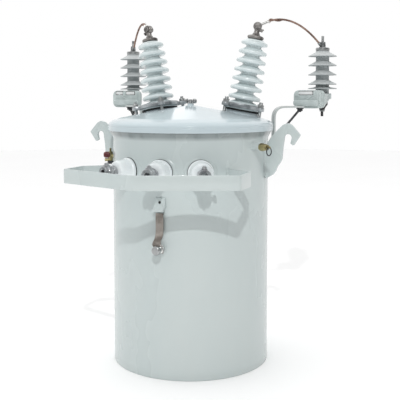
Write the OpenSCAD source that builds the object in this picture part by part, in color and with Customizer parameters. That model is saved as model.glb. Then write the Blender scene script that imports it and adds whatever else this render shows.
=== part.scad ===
// Single-phase pole mounted distribution transformer: a round oil tank with a conical cover,
// two leaning porcelain high voltage bushings, two surge arresters on insulating brackets,
// three low voltage bushings behind a strap guard, and two hook-shaped lifting lugs.
// The origin is on the tank's axis, on the floor; the low voltage side faces -Y.

/* [Tank] */
// Outer radius of the tank wall
tank_r = 230; // [190:1:290]
// Thickness of the tank wall and of the cover sheet
wall_t = 3; // [2:0.5:6]
// Height of the straight part of the tank wall
wall_h = 661; // [640:1:800]
// How far the mouth of the tank flares out
flare_out = 11; // [6:1:18]
// Height of the flared mouth
flare_h = 21; // [12:1:30]
// Thickness of the tank's bottom plate
bottom_t = 6; // [3:0.5:12]

/* [Cover] */
// Thickness of the cover gasket
gasket_t = 3; // [2:0.5:5]
// Height of the cover's upright rim, from its lower edge
rim_h = 25; // [18:1:34]
// Slope of the conical cover
cover_slope = 10.4; // [7:0.1:14]
// Radius of the pressed boss under the bond clamp at the top of the cover
apex_boss_r = 9; // [6:0.5:14]

/* [High voltage bushings] */
// Distance of each bushing's foot from the middle, to the side
hv_x = 133; // [120:0.5:145]
// Distance of each bushing's foot from the middle, to the back
hv_y = 81.5; // [60:0.5:90]
// Lean of the bushings from upright
hv_lean = 10.3; // [6:0.1:13]
// Direction in which the bushings lean, away from the sideways line
hv_lean_dir = 17; // [0:1:32]
// Number of sheds on a bushing
hv_sheds = 7; // [4:1:9]
// Distance between sheds
hv_pitch = 27.3; // [24:0.1:32]
// Radius of the lowest shed
hv_shed_r = 48.8; // [40:0.1:56]
// Radius of the porcelain between the sheds, at the foot
hv_core_r = 25; // [20:0.5:30]
// Radius of the circle of studs that holds the clamp ring
hv_stud_circle_r = 74; // [70:0.5:80]
// Radius of the clamp studs
hv_stud_r = 5; // [4:0.5:7]

/* [Surge arresters] */
// Distance of the arresters from the tank wall
arrester_out = 224.5; // [216:0.5:260]
// Direction of the arresters, turned back from the sideways line
arrester_dir = 43; // [30:1:55]
// Height of the arrester's foot above the straight part of the tank wall
arrester_rise = 129; // [118:1:150]
// Distance between the arrester's sheds
arrester_pitch = 29.6; // [26:0.1:34]
// Radius of the arrester's sheds
arrester_shed_r = 45.5; // [36:0.5:50]
// Radius of the arrester's body
arrester_core_r = 21; // [18:0.5:26]
// Direction of the arms, turned back from the sideways line
arm_dir = 33; // [29:0.5:36]
// Width of the insulating bracket
holder_w = 92; // [76:1:104]
// Width of the flat bar that carries the bracket
arm_w = 25; // [20:1:40]
// Thickness of the flat bar
arm_t = 6; // [4:0.5:9]
// Radius of the brace rod
brace_r = 3.5; // [2.5:0.5:5]
// Radius of the copper jumper leads
lead_r = 3.2; // [2.4:0.1:4]

/* [Lifting lugs] */
// Thickness of the lug plates
lug_t = 10; // [6:0.5:14]
// Width of the hook's slot
lug_slot_w = 20.8; // [16:0.1:22]

/* [Low voltage side] */
// Angle between neighbouring low voltage bushings
lv_step = 27.5; // [24:0.5:34]
// Height of the low voltage bushings above the floor
lv_z = 574.5; // [540:0.5:590]
// Radius of the bushing's foot
lv_foot_r = 36; // [28:0.5:42]
// Radius of the conductor bore in each terminal
lv_bore_r = 9; // [6:0.5:11]
// Depth of the conductor bore
lv_bore_len = 36; // [24:1:38]
// Height of the strap guard's bar
guard_h = 39; // [28:1:56]
// Thickness of the strap guard's bar
guard_t = 5; // [3:0.5:8]
// Distance of the guard's front corner from the tank wall
guard_out = 179; // [150:1:220]

/* [Fittings] */
// Height of the ground bolt above the floor
ground_z = 372; // [300:1:400]
// Radius of the ground bolt's round head
ground_head_r = 12.5; // [9:0.5:16]
// Width of the ground strap
ground_strap_w = 23; // [16:1:28]
// Distance between the two pole mounting bolts
hanger_pitch = 285.75; // [240:0.25:320]
// Radius of the pole bolt holes
hanger_hole_r = 9; // [7:0.5:12]
// Distance from the tank wall to the pole side of the hangers
hanger_reach = 64; // [45:1:90]

/* [Hidden] */
$fn = 96;

// Colours of the finishes
paint = [0.76, 0.81, 0.81];
porcelain = [0.80, 0.86, 0.86];
polymer = [0.60, 0.64, 0.64];
steel = [0.62, 0.64, 0.64];
aluminium = [0.74, 0.77, 0.78];
copper = [0.55, 0.40, 0.30];
brass = [0.62, 0.56, 0.32];
black_rubber = [0.08, 0.08, 0.09];

// Play left between pieces that slip into each other
slip = 0.2;

// Tank and cover heights and radii
mouth_r = tank_r + flare_out;
mouth_z = wall_h + flare_h;
seat_z = mouth_z + gasket_t;
rim_r = mouth_r + slip + wall_t;
rim_top_z = mouth_z + rim_h;
cone_r = tank_r - 21;
cone_z = rim_top_z + 11.5;
apex_r = 15;
apex_z = cone_z + (cone_r - apex_r) * tan(cover_slope);
function cone_height(r) = cone_z + (cone_r - r) * tan(cover_slope);

// High voltage bushing, measured along its own leaning axis from the cover's surface
hv_seat_r = 50;
hv_seat_h = 9;
hv_gasket_h = 5;
hv_foot_h = 4;
hv_foot_r = 56;
hv_clamp_h = 13;
hv_clamp_r = 64;
hv_lug_r = 11;
hv_foot_z = hv_seat_h + hv_gasket_h;
hv_clamp_z = hv_foot_z + hv_foot_h;
hv_skirt_r = 45;
hv_first_shed = hv_clamp_z + hv_clamp_h + 19;
hv_top = hv_first_shed + (hv_sheds - 1) * hv_pitch + 12.5;
hv_top_r = hv_core_r - 2.5;
hv_cap_r = hv_top_r + 1;
hv_cap_h = 17;
hv_eye_r = 13;
hv_eye_w = 16;
hv_eye_z = hv_top + hv_cap_h + 23;
hv_foot = [hv_x, hv_y, cone_height(norm([hv_x, hv_y]))];
hv_eye = hv_foot + hv_eye_z * [sin(hv_lean) * cos(hv_lean_dir), sin(hv_lean) * sin(hv_lean_dir), cos(hv_lean)];

// Arrester and its bracket
arrester_dist = tank_r + arrester_out;
arrester_axis = [arrester_dist * cos(arrester_dir), arrester_dist * sin(arrester_dir)];
arrester_foot_z = wall_h + arrester_rise;
arrester_first_shed = 29;
arrester_top = arrester_first_shed + 3 * arrester_pitch + 18;
arrester_cap_h = 10;
arrester_nuts_h = 18;
arrester_stud_h = 37;
ground_stud_r = 4.5;
line_stud_r = 4.5;
disconnector_r = 18;
holder_end_h = 18;
holder_face = 112;
holder_foot = 38;
arm_top = arrester_foot_z - holder_foot - slip;
arm_rise_r = tank_r + 29;
arm_end_r = tank_r + 124;
arm_foot_z = wall_h - 84;
// the bracket is swung back: it points from the arm's end to the arrester
holder_run = arrester_axis - (arm_end_r + 12) * [cos(arm_dir), sin(arm_dir)];
holder_dir = atan2(holder_run.y, holder_run.x);

// Jumper lead: it arches from the bushing's eye to the arrester's stud
lead_from = hv_eye;
lead_to = [arrester_axis.x, arrester_axis.y, arrester_foot_z + arrester_top + arrester_cap_h - 1];
lead_run = (lead_to - lead_from) / 3;
lead_knee_from = lead_from + [lead_run.x, lead_run.y, 47];
lead_knee_to = lead_to + [-lead_run.x, -lead_run.y, 84];
lead_start = 0.10;
lead_end = 0.95;
lead_gap = 0.001;
lead_steps = 14;
lead_sides = 10;

// Low voltage terminals
lv_body_len = 50;
lv_barrel_r = 17.5;
lv_barrel_len = 40;
lv_block_t = 26;
lv_block_side = 12;
lv_block_drop = 24;
lv_side_bolt_z = -7;

// Hanger heights
hanger_upper_z = 590;
hanger_lower_z = hanger_upper_z - hanger_pitch;
hanger_w = 92;
hanger_h = 74;
hanger_t = 6;

// --- general helpers -----------------------------------------------------------------------

function unit(v) = v / norm(v);
function left_of(v) = [-v.y, v.x];
// Points of an arc about a centre, from one angle to another
function arc(centre, r, from, to, steps = 6) =
    [for (i = [0:steps]) let (a = from + (to - from) * i / steps)
        [centre.x + r * cos(a), centre.y + r * sin(a)]];
// Sideways step that keeps a ribbon's thickness through the corner at point i
function mitre(path, i) =
    let (last = len(path) - 1,
         before = unit(path[max(i, 1)] - path[max(i, 1) - 1]),
         after = unit(path[min(i + 1, last)] - path[min(i, last - 1)]),
         n = unit(left_of(before) + left_of(after)))
    n / (n * left_of(before));
// Outline of a bar of thickness t bent along a path, its middle on the path
function ribbon(path, t) = concat(
    [for (i = [0:len(path) - 1]) path[i] + mitre(path, i) * t / 2],
    [for (i = [len(path) - 1:-1:0]) path[i] - mitre(path, i) * t / 2]);

// The pieces of the left side are the mirror image of the right side's
module on_side(side) {
    mirror([side == "left" ? 1 : 0, 0, 0]) children();
}
// Frame of a right-hand high voltage bushing: z along the bushing
module at_bushing() {
    translate(hv_foot) rotate([0, 0, hv_lean_dir]) rotate([0, hv_lean, 0]) children();
}
// Frame with x outwards and z up, turned to a direction about the tank's axis
module facing(angle) {
    rotate([0, 0, angle]) children();
}
// A plate drawn in the plane of x outwards and z up, centred on that plane
module upright_plate(t) {
    rotate([90, 0, 0]) translate([0, 0, -t / 2]) linear_extrude(t) children();
}
// A round bar lying along x
module lying(r, length) {
    rotate([0, 90, 0]) cylinder(r = r, h = length);
}
// A round rod from one point to another
module rod(from, to, r) {
    run = to - from;
    translate(from) rotate([0, acos(run.z / norm(run)), atan2(run.y, run.x)])
        cylinder(r = r, h = norm(run), $fn = 32);
}
// Everything inside the tank wall's outer face
module tank_space() {
    translate([0, 0, -1]) cylinder(r = tank_r, h = mouth_z, $fn = 180);
}

// --- tank and cover ------------------------------------------------------------------------

module tank_wall() {
    color(paint) rotate_extrude($fn = 180) polygon([
        [tank_r - wall_t, 0], [tank_r, 0], [tank_r, wall_h], [mouth_r, mouth_z],
        [mouth_r - wall_t, mouth_z], [tank_r - wall_t, wall_h + 1]]);
}

module tank_bottom() {
    color(paint) cylinder(r = tank_r - wall_t - slip, h = bottom_t, $fn = 180);
}

// Outside of the cover, filled down to its lower edge
module cover_body() {
    rotate_extrude($fn = 180) polygon([
        [0, seat_z], [rim_r, seat_z], [rim_r, rim_top_z - 9], [rim_r - 1.5, rim_top_z - 4],
        [rim_r - 5, rim_top_z - 1.5], [tank_r + 2, rim_top_z + 4], [cone_r, cone_z],
        [apex_r, apex_z], [0, apex_z + 1]]);
}

module cover() {
    inner_r = tank_r - 2;
    color(paint) {
        difference() {
            union() {
                cover_body();
                for (side = ["left", "right"]) on_side(side) at_bushing()
                    translate([0, 0, -hv_seat_h]) cylinder(r = hv_seat_r, h = 2 * hv_seat_h);
                cylinder(r = apex_boss_r, h = apex_z + 6);
            }
            rotate_extrude($fn = 180) polygon([
                [0, seat_z - 1], [inner_r, seat_z - 1], [inner_r, rim_top_z - 1],
                [cone_r, cone_z - wall_t],
                [apex_r, apex_z - wall_t], [0, apex_z - wall_t + 1]]);
            cylinder(r = apex_boss_r + 1, h = apex_z - wall_t - 1);
        }
        rotate_extrude($fn = 180) polygon([
            [rim_r - wall_t, mouth_z], [rim_r, mouth_z], [rim_r, seat_z], [rim_r - wall_t, seat_z]]);
    }
}

module cover_gasket() {
    color(black_rubber) rotate_extrude($fn = 180)
        translate([tank_r - 1, mouth_z]) square([flare_out + 1, gasket_t]);
}

// Bond clamp on the top of the cover: a saddle, a cross bolt and its nut
module cover_connector() {
    bolt_z = apex_z + 13;
    color(steel) {
        translate([0, 0, apex_z + 6]) cylinder(r = 7, h = 6);
        translate([-18, 0, bolt_z]) lying(4, 36);
        translate([-5, 0, bolt_z]) lying(7, 9);
        for (x = [-18, 12]) translate([x, 0, bolt_z]) rotate([0, 90, 0]) cylinder(r = 6.5, h = 5, $fn = 6);
    }
}

// --- high voltage bushings -----------------------------------------------------------------

module hv_gasket(side) {
    color(black_rubber) on_side(side) at_bushing()
        translate([0, 0, hv_seat_h]) cylinder(r = hv_foot_r, h = hv_gasket_h);
}

module hv_clamp(side) {
    color(aluminium) on_side(side) at_bushing() translate([0, 0, hv_clamp_z]) difference() {
        union() {
            cylinder(r = hv_clamp_r, h = hv_clamp_h);
            for (k = [0:3]) rotate([0, 0, 45 + 90 * k]) {
                translate([hv_stud_circle_r, 0, 0]) cylinder(r = hv_lug_r, h = hv_clamp_h - 3);
                translate([hv_clamp_r - 12, -hv_lug_r, 0])
                    cube([hv_stud_circle_r - hv_clamp_r + 12, 2 * hv_lug_r, hv_clamp_h - 3]);
            }
        }
        translate([0, 0, -1]) cylinder(r = hv_skirt_r + 4, h = hv_clamp_h + 2);
        for (k = [0:3]) rotate([0, 0, 45 + 90 * k])
            translate([hv_stud_circle_r, 0, -1]) cylinder(r = hv_stud_r + 1, h = hv_clamp_h + 2);
    }
}

// Four studs that stand on the cover, each with a hexagon nut on the clamp ring
module hv_studs(side) {
    nut_z = hv_clamp_z + hv_clamp_h - 3;
    color(steel) on_side(side) difference() {
        at_bushing() for (k = [0:3]) rotate([0, 0, 45 + 90 * k]) translate([hv_stud_circle_r, 0, 0]) {
            translate([0, 0, -12]) cylinder(r = hv_stud_r, h = nut_z + 28);
            translate([0, 0, nut_z]) cylinder(r = hv_stud_r + 4, h = 8, $fn = 6);
        }
        cover_body();
    }
}

// Outline of one shed of the porcelain, from its underside up
function hv_shed(core, r, z) = [
    [core, z - 8], [core + 5, z - 5.5], [r - 8, z - 5.5], [r - 2.5, z - 4], [r, z],
    [r - 2.5, z + 4], [r - 9, z + 6], [core + 5, z + 10], [core, z + 13]];

module hv_bushing(side) {
    outline = concat(
        [[0, hv_foot_z], [hv_foot_r, hv_foot_z], [hv_foot_r, hv_clamp_z], [hv_skirt_r + 3, hv_clamp_z],
         [hv_skirt_r, hv_clamp_z + hv_clamp_h + 2]],
        [for (i = [0:hv_sheds - 1])
            let (r = hv_shed_r - 0.24 * i * i * 36 / pow(hv_sheds - 1, 2),
                 core = hv_core_r - 2.5 * i / hv_sheds,
                 z = hv_first_shed + i * hv_pitch)
            each [for (p = hv_shed(core, r, z)) [p.x, min(p.y, hv_top)]]],
        [[hv_top_r, hv_top], [0, hv_top]]);
    color(porcelain) on_side(side) at_bushing() rotate_extrude() polygon(outline);
}

module hv_cap(side) {
    color(steel) on_side(side) at_bushing() translate([0, 0, hv_top + slip]) rotate_extrude()
        polygon([[0, 0], [hv_cap_r, 0], [hv_cap_r, 8], [hv_cap_r - 7, hv_cap_h - 3],
                 [10, hv_cap_h], [0, hv_cap_h]]);
}

// Stud with a round eye, its clamp bolt and the crimp barrel of the jumper lead
module hv_terminal(side) {
    stud_z = hv_top + slip + hv_cap_h;
    color(steel) on_side(side) {
        at_bushing() {
            translate([0, 0, stud_z]) cylinder(r = 8, h = hv_eye_z - stud_z);
            translate([0, hv_eye_w / 2, hv_eye_z]) rotate([90, 0, 0]) cylinder(r = hv_eye_r, h = hv_eye_w);
            translate([0, -hv_eye_w / 2, hv_eye_z]) rotate([90, 0, 0]) cylinder(r = 8.5, h = 7, $fn = 6);
        }
        rod(hv_eye, lead_point(lead_start - lead_gap), lead_r + 1.8);
    }
}

// Point of the right-hand jumper lead, from 0 at the eye to 1 at the arrester's stud
function lead_point(t) =
    pow(1 - t, 3) * lead_from + 3 * pow(1 - t, 2) * t * lead_knee_from
    + 3 * (1 - t) * t * t * lead_knee_to + pow(t, 3) * lead_to;
function lead_step(i) = lead_point(lead_start + (lead_end - lead_start) * i / lead_steps);
// One ring of the lead's tube: its centre is on the arch, square to the run there
function lead_ring(i) =
    let (along = unit(lead_step(min(i + 1, lead_steps)) - lead_step(max(i - 1, 0))),
         across = unit([-along.y, along.x, 0]),
         up = cross(along, across))
    [for (k = [0:lead_sides - 1]) let (a = 360 * k / lead_sides)
        lead_step(i) + lead_r * (cos(a) * across + sin(a) * up)];

module jumper_lead(side) {
    color(copper) on_side(side) polyhedron(
        points = [for (i = [0:lead_steps]) each lead_ring(i)],
        faces = concat(
            [[for (k = [0:lead_sides - 1]) k]],
            [for (i = [0:lead_steps - 1]) for (k = [0:lead_sides - 1])
                let (a = i * lead_sides + k, b = i * lead_sides + (k + 1) % lead_sides)
                [a, a + lead_sides, b + lead_sides, b]],
            [[for (k = [lead_sides - 1:-1:0]) lead_steps * lead_sides + k]]));
}

// --- surge arresters -----------------------------------------------------------------------

module at_arrester(side) {
    on_side(side) translate([arrester_axis.x, arrester_axis.y, arrester_foot_z]) children();
}

module arrester(side) {
    core = arrester_core_r;
    edge = arrester_shed_r;
    outline = concat(
        [[0, 0], [core, 0], [core, 14], [edge, 14], [edge, 18], [core, 21]],
        [for (i = [0:3]) let (z = arrester_first_shed + i * arrester_pitch)
            each [[core, z - 1], [edge - 1, z - 0.5], [edge, z + 1.5], [core + 1, z + 13]]],
        [[core, arrester_top], [0, arrester_top]]);
    color(polymer) at_arrester(side) rotate_extrude() polygon(outline);
}

// Metal cap with the line stud, its nuts and the crimp barrel of the jumper lead
module arrester_cap(side) {
    cap_top = arrester_top + arrester_cap_h;
    color(steel) {
        at_arrester(side) {
            translate([0, 0, arrester_top]) cylinder(r = arrester_core_r + 1, h = arrester_cap_h);
            translate([0, 0, cap_top]) cylinder(r = 10, h = arrester_nuts_h, $fn = 6);
            translate([0, 0, cap_top]) cylinder(r = line_stud_r, h = arrester_stud_h);
        }
        on_side(side) rod(lead_to, lead_point(lead_end + lead_gap), lead_r + 1.8);
    }
}

// Upright plate with rounded corners, across the bracket at x
module holder_rib(x, w, low, high, t, corner) {
    translate([x, 0, 0]) rotate([90, 0, 90]) linear_extrude(t) hull()
        for (y = [corner - w / 2, w / 2 - corner], z = [low + corner, high - corner])
            translate([y, z]) circle(r = corner, $fn = 48);
}

// Insulating bracket: a lip on the arm, three rounded ribs, and a webbed neck under the arrester
module arrester_holder(side) {
    rib_t = 9;
    rib_pitch = 13.5;
    neck = rib_t + 2 * rib_pitch - holder_face;
    web_y = disconnector_r + 4;
    color(polymer) at_arrester(side) rotate([0, 0, holder_dir]) {
        for (i = [0:2]) holder_rib(i * rib_pitch - holder_face, holder_w, -holder_foot - 8, 10, rib_t, 16);
        holder_rib(1 - holder_face, holder_w - 12, -holder_foot, 5, 2 * rib_pitch, 12);
        holder_rib(-holder_face - 15, holder_w - 10, -holder_foot, -20, 16, 8);
        translate([neck - 1, -web_y - 6, -16]) cube([holder_face - 48, 2 * web_y + 12, 16]);
        translate([0, 0, -holder_end_h]) cylinder(r = 29, h = holder_end_h);
        for (y = [-web_y - 3, web_y + 3]) translate([0, y, 0]) upright_plate(6) polygon([
            [neck - 1, -holder_foot - 7], [-48, -holder_foot - 6], [-6, -19], [-6, -10], [neck - 1, -10]]);
    }
}

// Ground lead disconnector under the bracket, with its nut and stud
module arrester_disconnector(side) {
    color(black_rubber) at_arrester(side) translate([0, 0, -holder_end_h]) rotate_extrude() polygon([
        [0, 0], [disconnector_r, 0], [disconnector_r, -19], [disconnector_r - 9, -30],
        [disconnector_r - 10, -34], [ground_stud_r, -35], [ground_stud_r, -55], [0, -55]]);
}

// Flat bar bent from the tank wall out past the cover's rim and over to the bracket
module arrester_arm(side) {
    bend = 30;
    wall_x = tank_r + arm_t / 2 + slip;
    top_z = arm_top - arm_t / 2;
    path = concat(
        [[wall_x, arm_foot_z - 34], [wall_x, arm_foot_z], [arm_rise_r, arm_foot_z + 46]],
        arc([arm_rise_r + bend, top_z - bend], bend, 180, 90),
        [[arm_end_r, top_z]]);
    color(paint) on_side(side) facing(arm_dir) upright_plate(arm_w) polygon(ribbon(path, arm_t));
}

// Rod that braces the arm, trimmed flush to the arm's upright and its underside
module arrester_brace(side) {
    color(steel) on_side(side) facing(arm_dir) intersection() {
        rod([arm_rise_r, 0, arm_top - 106], [arm_end_r - 3, 0, arm_top], brace_r);
        translate([arm_rise_r + arm_t / 2, -20, 0]) cube([200, 40, arm_top - arm_t]);
    }
}

// --- lifting lugs --------------------------------------------------------------------------

// Hook plate: a web that leans out from the wall, a slot open below, and the hook outside it
module lifting_lug(side) {
    slot_mid = 68.3;
    slot_r = lug_slot_w / 2;
    outline = concat(
        [[-4, -115], [6, -115], [17, -109], [25.5, -104], [33, -92.5], [37.5, -81], [48, -66],
         [51.5, -57], [54, -26]],
        arc([slot_mid, 2.5], slot_r, 180, 0, 8),
        [[75, -13.7], [82.3, -19.4], [86, -17.5], [104.4, 10.4], [92.5, 24], [80.5, 38], [68.6, 44.7],
         [53.5, 40], [36, 23], [18.6, 4], [9.8, -9.2], [2.4, -24], [-4, -24]]);
    color(paint) on_side(side) difference() {
        translate([tank_r, 0, wall_h]) upright_plate(lug_t) polygon(outline);
        tank_space();
    }
}

// --- low voltage side ----------------------------------------------------------------------

function lv_angle(place) = -90 + (place == "left" ? -1 : place == "right" ? 1 : 0) * lv_step;

module lv_bushing(place) {
    r = lv_foot_r;
    color(porcelain) facing(lv_angle(place)) difference() {
        translate([tank_r, 0, lv_z]) rotate([0, 90, 0]) rotate_extrude() polygon([
            [0, -6], [r, -6], [r, 9], [r - 2, 12], [r - 3, 14], [r - 6, lv_body_len - 8],
            [r - 9, lv_body_len - 2], [r - 12, lv_body_len], [0, lv_body_len]]);
        tank_space();
    }
}

// Tinned clamp terminal: a barrel with the conductor bore, a clamp block, a set screw and a side bolt
module lv_terminal(place) {
    front = lv_barrel_len;
    color(aluminium) facing(lv_angle(place)) translate([tank_r + lv_body_len + slip, 0, lv_z]) difference() {
        union() {
            lying(lv_barrel_r, front);
            translate([front - lv_block_t, 0, 0]) rotate([90, 0, 90]) linear_extrude(lv_block_t - 2) polygon([
                [-lv_barrel_r, 0], [-lv_barrel_r, -lv_block_side], [-13, -lv_block_drop],
                [13, -lv_block_drop], [lv_barrel_r, -lv_block_side], [lv_barrel_r, 0]]);
            translate([front - lv_block_t / 2, 0, -lv_block_drop - 12]) cylinder(r = 4.5, h = 13);
            translate([front - lv_block_t / 2, lv_barrel_r - 2, lv_side_bolt_z]) rotate([-90, 0, 0])
                cylinder(r = 5, h = 12);
            translate([front - lv_block_t / 2, lv_barrel_r + 9, lv_side_bolt_z]) rotate([-90, 0, 0])
                cylinder(r = 8, h = 7, $fn = 6);
        }
        translate([front - lv_bore_len, 0, 0]) lying(lv_bore_r, lv_bore_len + 1);
    }
}

// Bent flat bar that stands in front of the low voltage terminals
module lv_guard() {
    half = [[0, -tank_r - guard_out], [tank_r + 21.5, -tank_r - 81], [tank_r + 19, 19 - tank_r],
        (tank_r - 12) * [sin(47.5), -cos(47.5)]];
    path = concat([for (i = [3:-1:1]) [-half[i].x, half[i].y]], half);
    color(paint) difference() {
        translate([0, 0, lv_z - 29.5]) linear_extrude(guard_h) polygon(ribbon(path, guard_t));
        tank_space();
    }
}

// --- ground fittings -----------------------------------------------------------------------

strap_top_z = ground_z + 108;
module ground_tab() {
    tab_w = 30;
    color(paint) facing(-90) difference() {
        upright_plate(tab_w) polygon([
            [tank_r - 6, strap_top_z + 26], [tank_r + 4, strap_top_z + 26], [tank_r + 8, strap_top_z + 8],
            [tank_r + 22, strap_top_z - 6], [tank_r + 22, strap_top_z - 11], [tank_r - 6, strap_top_z - 2]]);
        tank_space();
        translate([tank_r - 1, 0, strap_top_z + 14]) lying(4, 20);
    }
}

// Flat strap that runs down from the tab and bends in to the ground bolt
module ground_strap() {
    x = tank_r + 8;
    path = [[x, strap_top_z - 7.2], [x, ground_z + 40], [x + 9, ground_z + 26], [x + 9, ground_z + 14],
        [tank_r + 6, ground_z + 5], [tank_r + 6, ground_z - 18]];
    color(steel) facing(-90) difference() {
        upright_plate(ground_strap_w) polygon(ribbon(path, 3));
        translate([tank_r - 1, 0, ground_z - 6]) lying(6, 40);
    }
}

// Ground connector: a pad on the wall, the bolt through the strap, a sleeve and the round head
module ground_bolt() {
    color(steel) facing(-90) difference() {
        translate([tank_r, 0, ground_z - 6]) {
            translate([-4, 0, 0]) lying(5.8, 34);
            translate([-4, 0, 0]) lying(11, 8.3);
            translate([7.7, 0, 0]) lying(9, 19);
            translate([26, 0, 0]) lying(ground_head_r, 12);
        }
        tank_space();
    }
}

// --- small fittings ------------------------------------------------------------------------

relief_angle = -20;
relief_z = 641;
relief_eye = tank_r + 55;
ring_r = 11;
ring_wire_r = 1.1;
module relief_valve() {
    color(brass) facing(relief_angle) difference() {
        translate([tank_r - 6, 0, relief_z]) {
            lying(10, 31);
            translate([30, 0, 0]) rotate([0, 90, 0]) cylinder(r = 11, h = 21, $fn = 6);
            translate([50, 0, 0]) lying(8, 7);
            translate([56, 0, 0]) lying(3.5, 9);
        }
        translate([relief_eye, -10, relief_z]) rotate([-90, 0, 0]) cylinder(r = 2 * ring_wire_r, h = 20);
        tank_space();
    }
}

// Pull ring that hangs in the cross hole of the relief valve's stem
module relief_ring() {
    color(steel) facing(relief_angle) translate([relief_eye, 0, relief_z - ring_r - 0.4])
        rotate([0, 90, 0]) rotate_extrude() translate([ring_r, 0]) circle(r = ring_wire_r, $fn = 16);
}

// Bond connector on the left: a brass body with a pin, a clamp nut, a stub and a round cap
connector_z = 604;
module tank_connector() {
    z = connector_z;
    color(brass) facing(180 - relief_angle) difference() {
        union() {
            translate([tank_r - 5, 0, z]) lying(6, 12);
            translate([tank_r + 10, 0, z - 16]) cylinder(r = 7, h = 30);
            translate([tank_r + 10, 0, z + 12]) cylinder(r = 3, h = 11);
            translate([tank_r + 10, 0, z - 24]) cylinder(r = 9, h = 10, $fn = 6);
            translate([tank_r + 10, 0, z - 12]) lying(4.5, 20);
            translate([tank_r + 10, 0, z + 3]) lying(9.5, 22);
        }
        tank_space();
    }
}

// Channel welded to the back of the tank, with the hole of one pole bolt
module hanger(z) {
    back = tank_r + hanger_reach;
    half = hanger_w / 2;
    color(paint) difference() {
        translate([0, 0, z - hanger_h / 2]) linear_extrude(hanger_h) polygon([
            [-half, tank_r - 20], [-half, back], [half, back], [half, tank_r - 20],
            [half - hanger_t, tank_r - 20], [half - hanger_t, back - hanger_t],
            [-half + hanger_t, back - hanger_t], [-half + hanger_t, tank_r - 20]]);
        tank_space();
        translate([0, back + 1, z]) rotate([90, 0, 0]) cylinder(r = hanger_hole_r, h = hanger_t + 2);
    }
}

tank_wall();
tank_bottom();
cover();
cover_gasket();
cover_connector();
hv_gasket("left");  // hv_gasket_left
hv_gasket("right");  // hv_gasket_right
hv_clamp("left");  // hv_clamp_left
hv_clamp("right");  // hv_clamp_right
hv_studs("left");  // hv_studs_left
hv_studs("right");  // hv_studs_right
hv_bushing("left");  // hv_bushing_left
hv_bushing("right");  // hv_bushing_right
hv_cap("left");  // hv_cap_left
hv_cap("right");  // hv_cap_right
hv_terminal("left");  // hv_terminal_left
hv_terminal("right");  // hv_terminal_right
jumper_lead("left");  // jumper_lead_left
jumper_lead("right");  // jumper_lead_right
arrester("left");  // arrester_left
arrester("right");  // arrester_right
arrester_cap("left");  // arrester_cap_left
arrester_cap("right");  // arrester_cap_right
arrester_holder("left");  // arrester_holder_left
arrester_holder("right");  // arrester_holder_right
arrester_disconnector("left");  // arrester_disconnector_left
arrester_disconnector("right");  // arrester_disconnector_right
arrester_arm("left");  // arrester_arm_left
arrester_arm("right");  // arrester_arm_right
arrester_brace("left");  // arrester_brace_left
arrester_brace("right");  // arrester_brace_right
lifting_lug("left");  // lifting_lug_left
lifting_lug("right");  // lifting_lug_right
lv_bushing("left");  // lv_bushing_left
lv_bushing("middle");  // lv_bushing_middle
lv_bushing("right");  // lv_bushing_right
lv_terminal("left");  // lv_terminal_left
lv_terminal("middle");  // lv_terminal_middle
lv_terminal("right");  // lv_terminal_right
lv_guard();
ground_tab();
ground_strap();
ground_bolt();
relief_valve();
relief_ring();
tank_connector();
hanger(hanger_upper_z);  // hanger_upper
hanger(hanger_lower_z);  // hanger_lower
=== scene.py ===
# %% [markdown]
# # Dressing a pole mounted transformer
# A round oil tank hangs on a utility pole and steps a high line voltage down for a few houses.
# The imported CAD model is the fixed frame: its boxes say where everything is. Each cell below
# builds one fitting at that place, in real mesh code, and gives it a procedural finish.

# %% Load the frame
import math
import random

import bmesh
import bpy
from mathutils import Matrix, Vector, noise


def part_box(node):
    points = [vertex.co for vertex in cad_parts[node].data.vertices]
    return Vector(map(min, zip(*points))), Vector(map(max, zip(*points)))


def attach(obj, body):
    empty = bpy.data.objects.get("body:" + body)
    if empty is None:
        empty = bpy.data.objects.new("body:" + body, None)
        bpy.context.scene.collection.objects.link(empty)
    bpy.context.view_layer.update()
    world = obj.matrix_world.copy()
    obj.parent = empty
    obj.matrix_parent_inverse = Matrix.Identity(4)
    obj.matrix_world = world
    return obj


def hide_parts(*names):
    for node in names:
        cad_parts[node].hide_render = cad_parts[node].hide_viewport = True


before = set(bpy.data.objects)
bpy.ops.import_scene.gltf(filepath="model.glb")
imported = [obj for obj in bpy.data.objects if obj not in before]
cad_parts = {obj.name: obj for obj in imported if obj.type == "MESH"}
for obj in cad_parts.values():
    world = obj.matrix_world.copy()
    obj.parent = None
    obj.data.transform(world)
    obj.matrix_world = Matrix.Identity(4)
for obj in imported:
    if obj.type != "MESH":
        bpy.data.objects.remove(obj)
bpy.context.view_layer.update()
MM = 0.001

# %% [markdown]
# Positions come from the frame. A turned piece is centred in its node's box, so the middle of
# the box lies on its axis. The leaning bushings are the one place where the box alone isn't
# enough: their lean is named here, and their foot is found from the gasket's middle.

# %% Places taken from the frame, in millimetres
def box_mm(node):
    low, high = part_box(node)
    return low / MM, high / MM


def middle(node):
    low, high = box_mm(node)
    return (low + high) / 2


FLARE_OUT, FLARE_H, SHEET = 11, 21, 3
mouth = box_mm("tank_wall")[1]
tank_r, wall_h = mouth.x - FLARE_OUT, mouth.z - FLARE_H
HV_LEAN, HV_TURN, HV_GASKET_MID = math.radians(10.3), math.radians(17), 11.5
hv_axis = Vector((math.sin(HV_LEAN) * math.cos(HV_TURN), math.sin(HV_LEAN) * math.sin(HV_TURN),
                  math.cos(HV_LEAN)))
hv_foot = middle("hv_gasket_right") - HV_GASKET_MID * hv_axis
arrester_foot = middle("arrester_right")
arrester_foot.z = box_mm("arrester_right")[0].z
lv_z = middle("lv_bushing_middle").z
guard_low, guard_high = box_mm("lv_guard")
print("tank radius", round(tank_r, 1), "wall height", round(wall_h, 1), "bushing foot", hv_foot)

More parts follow.
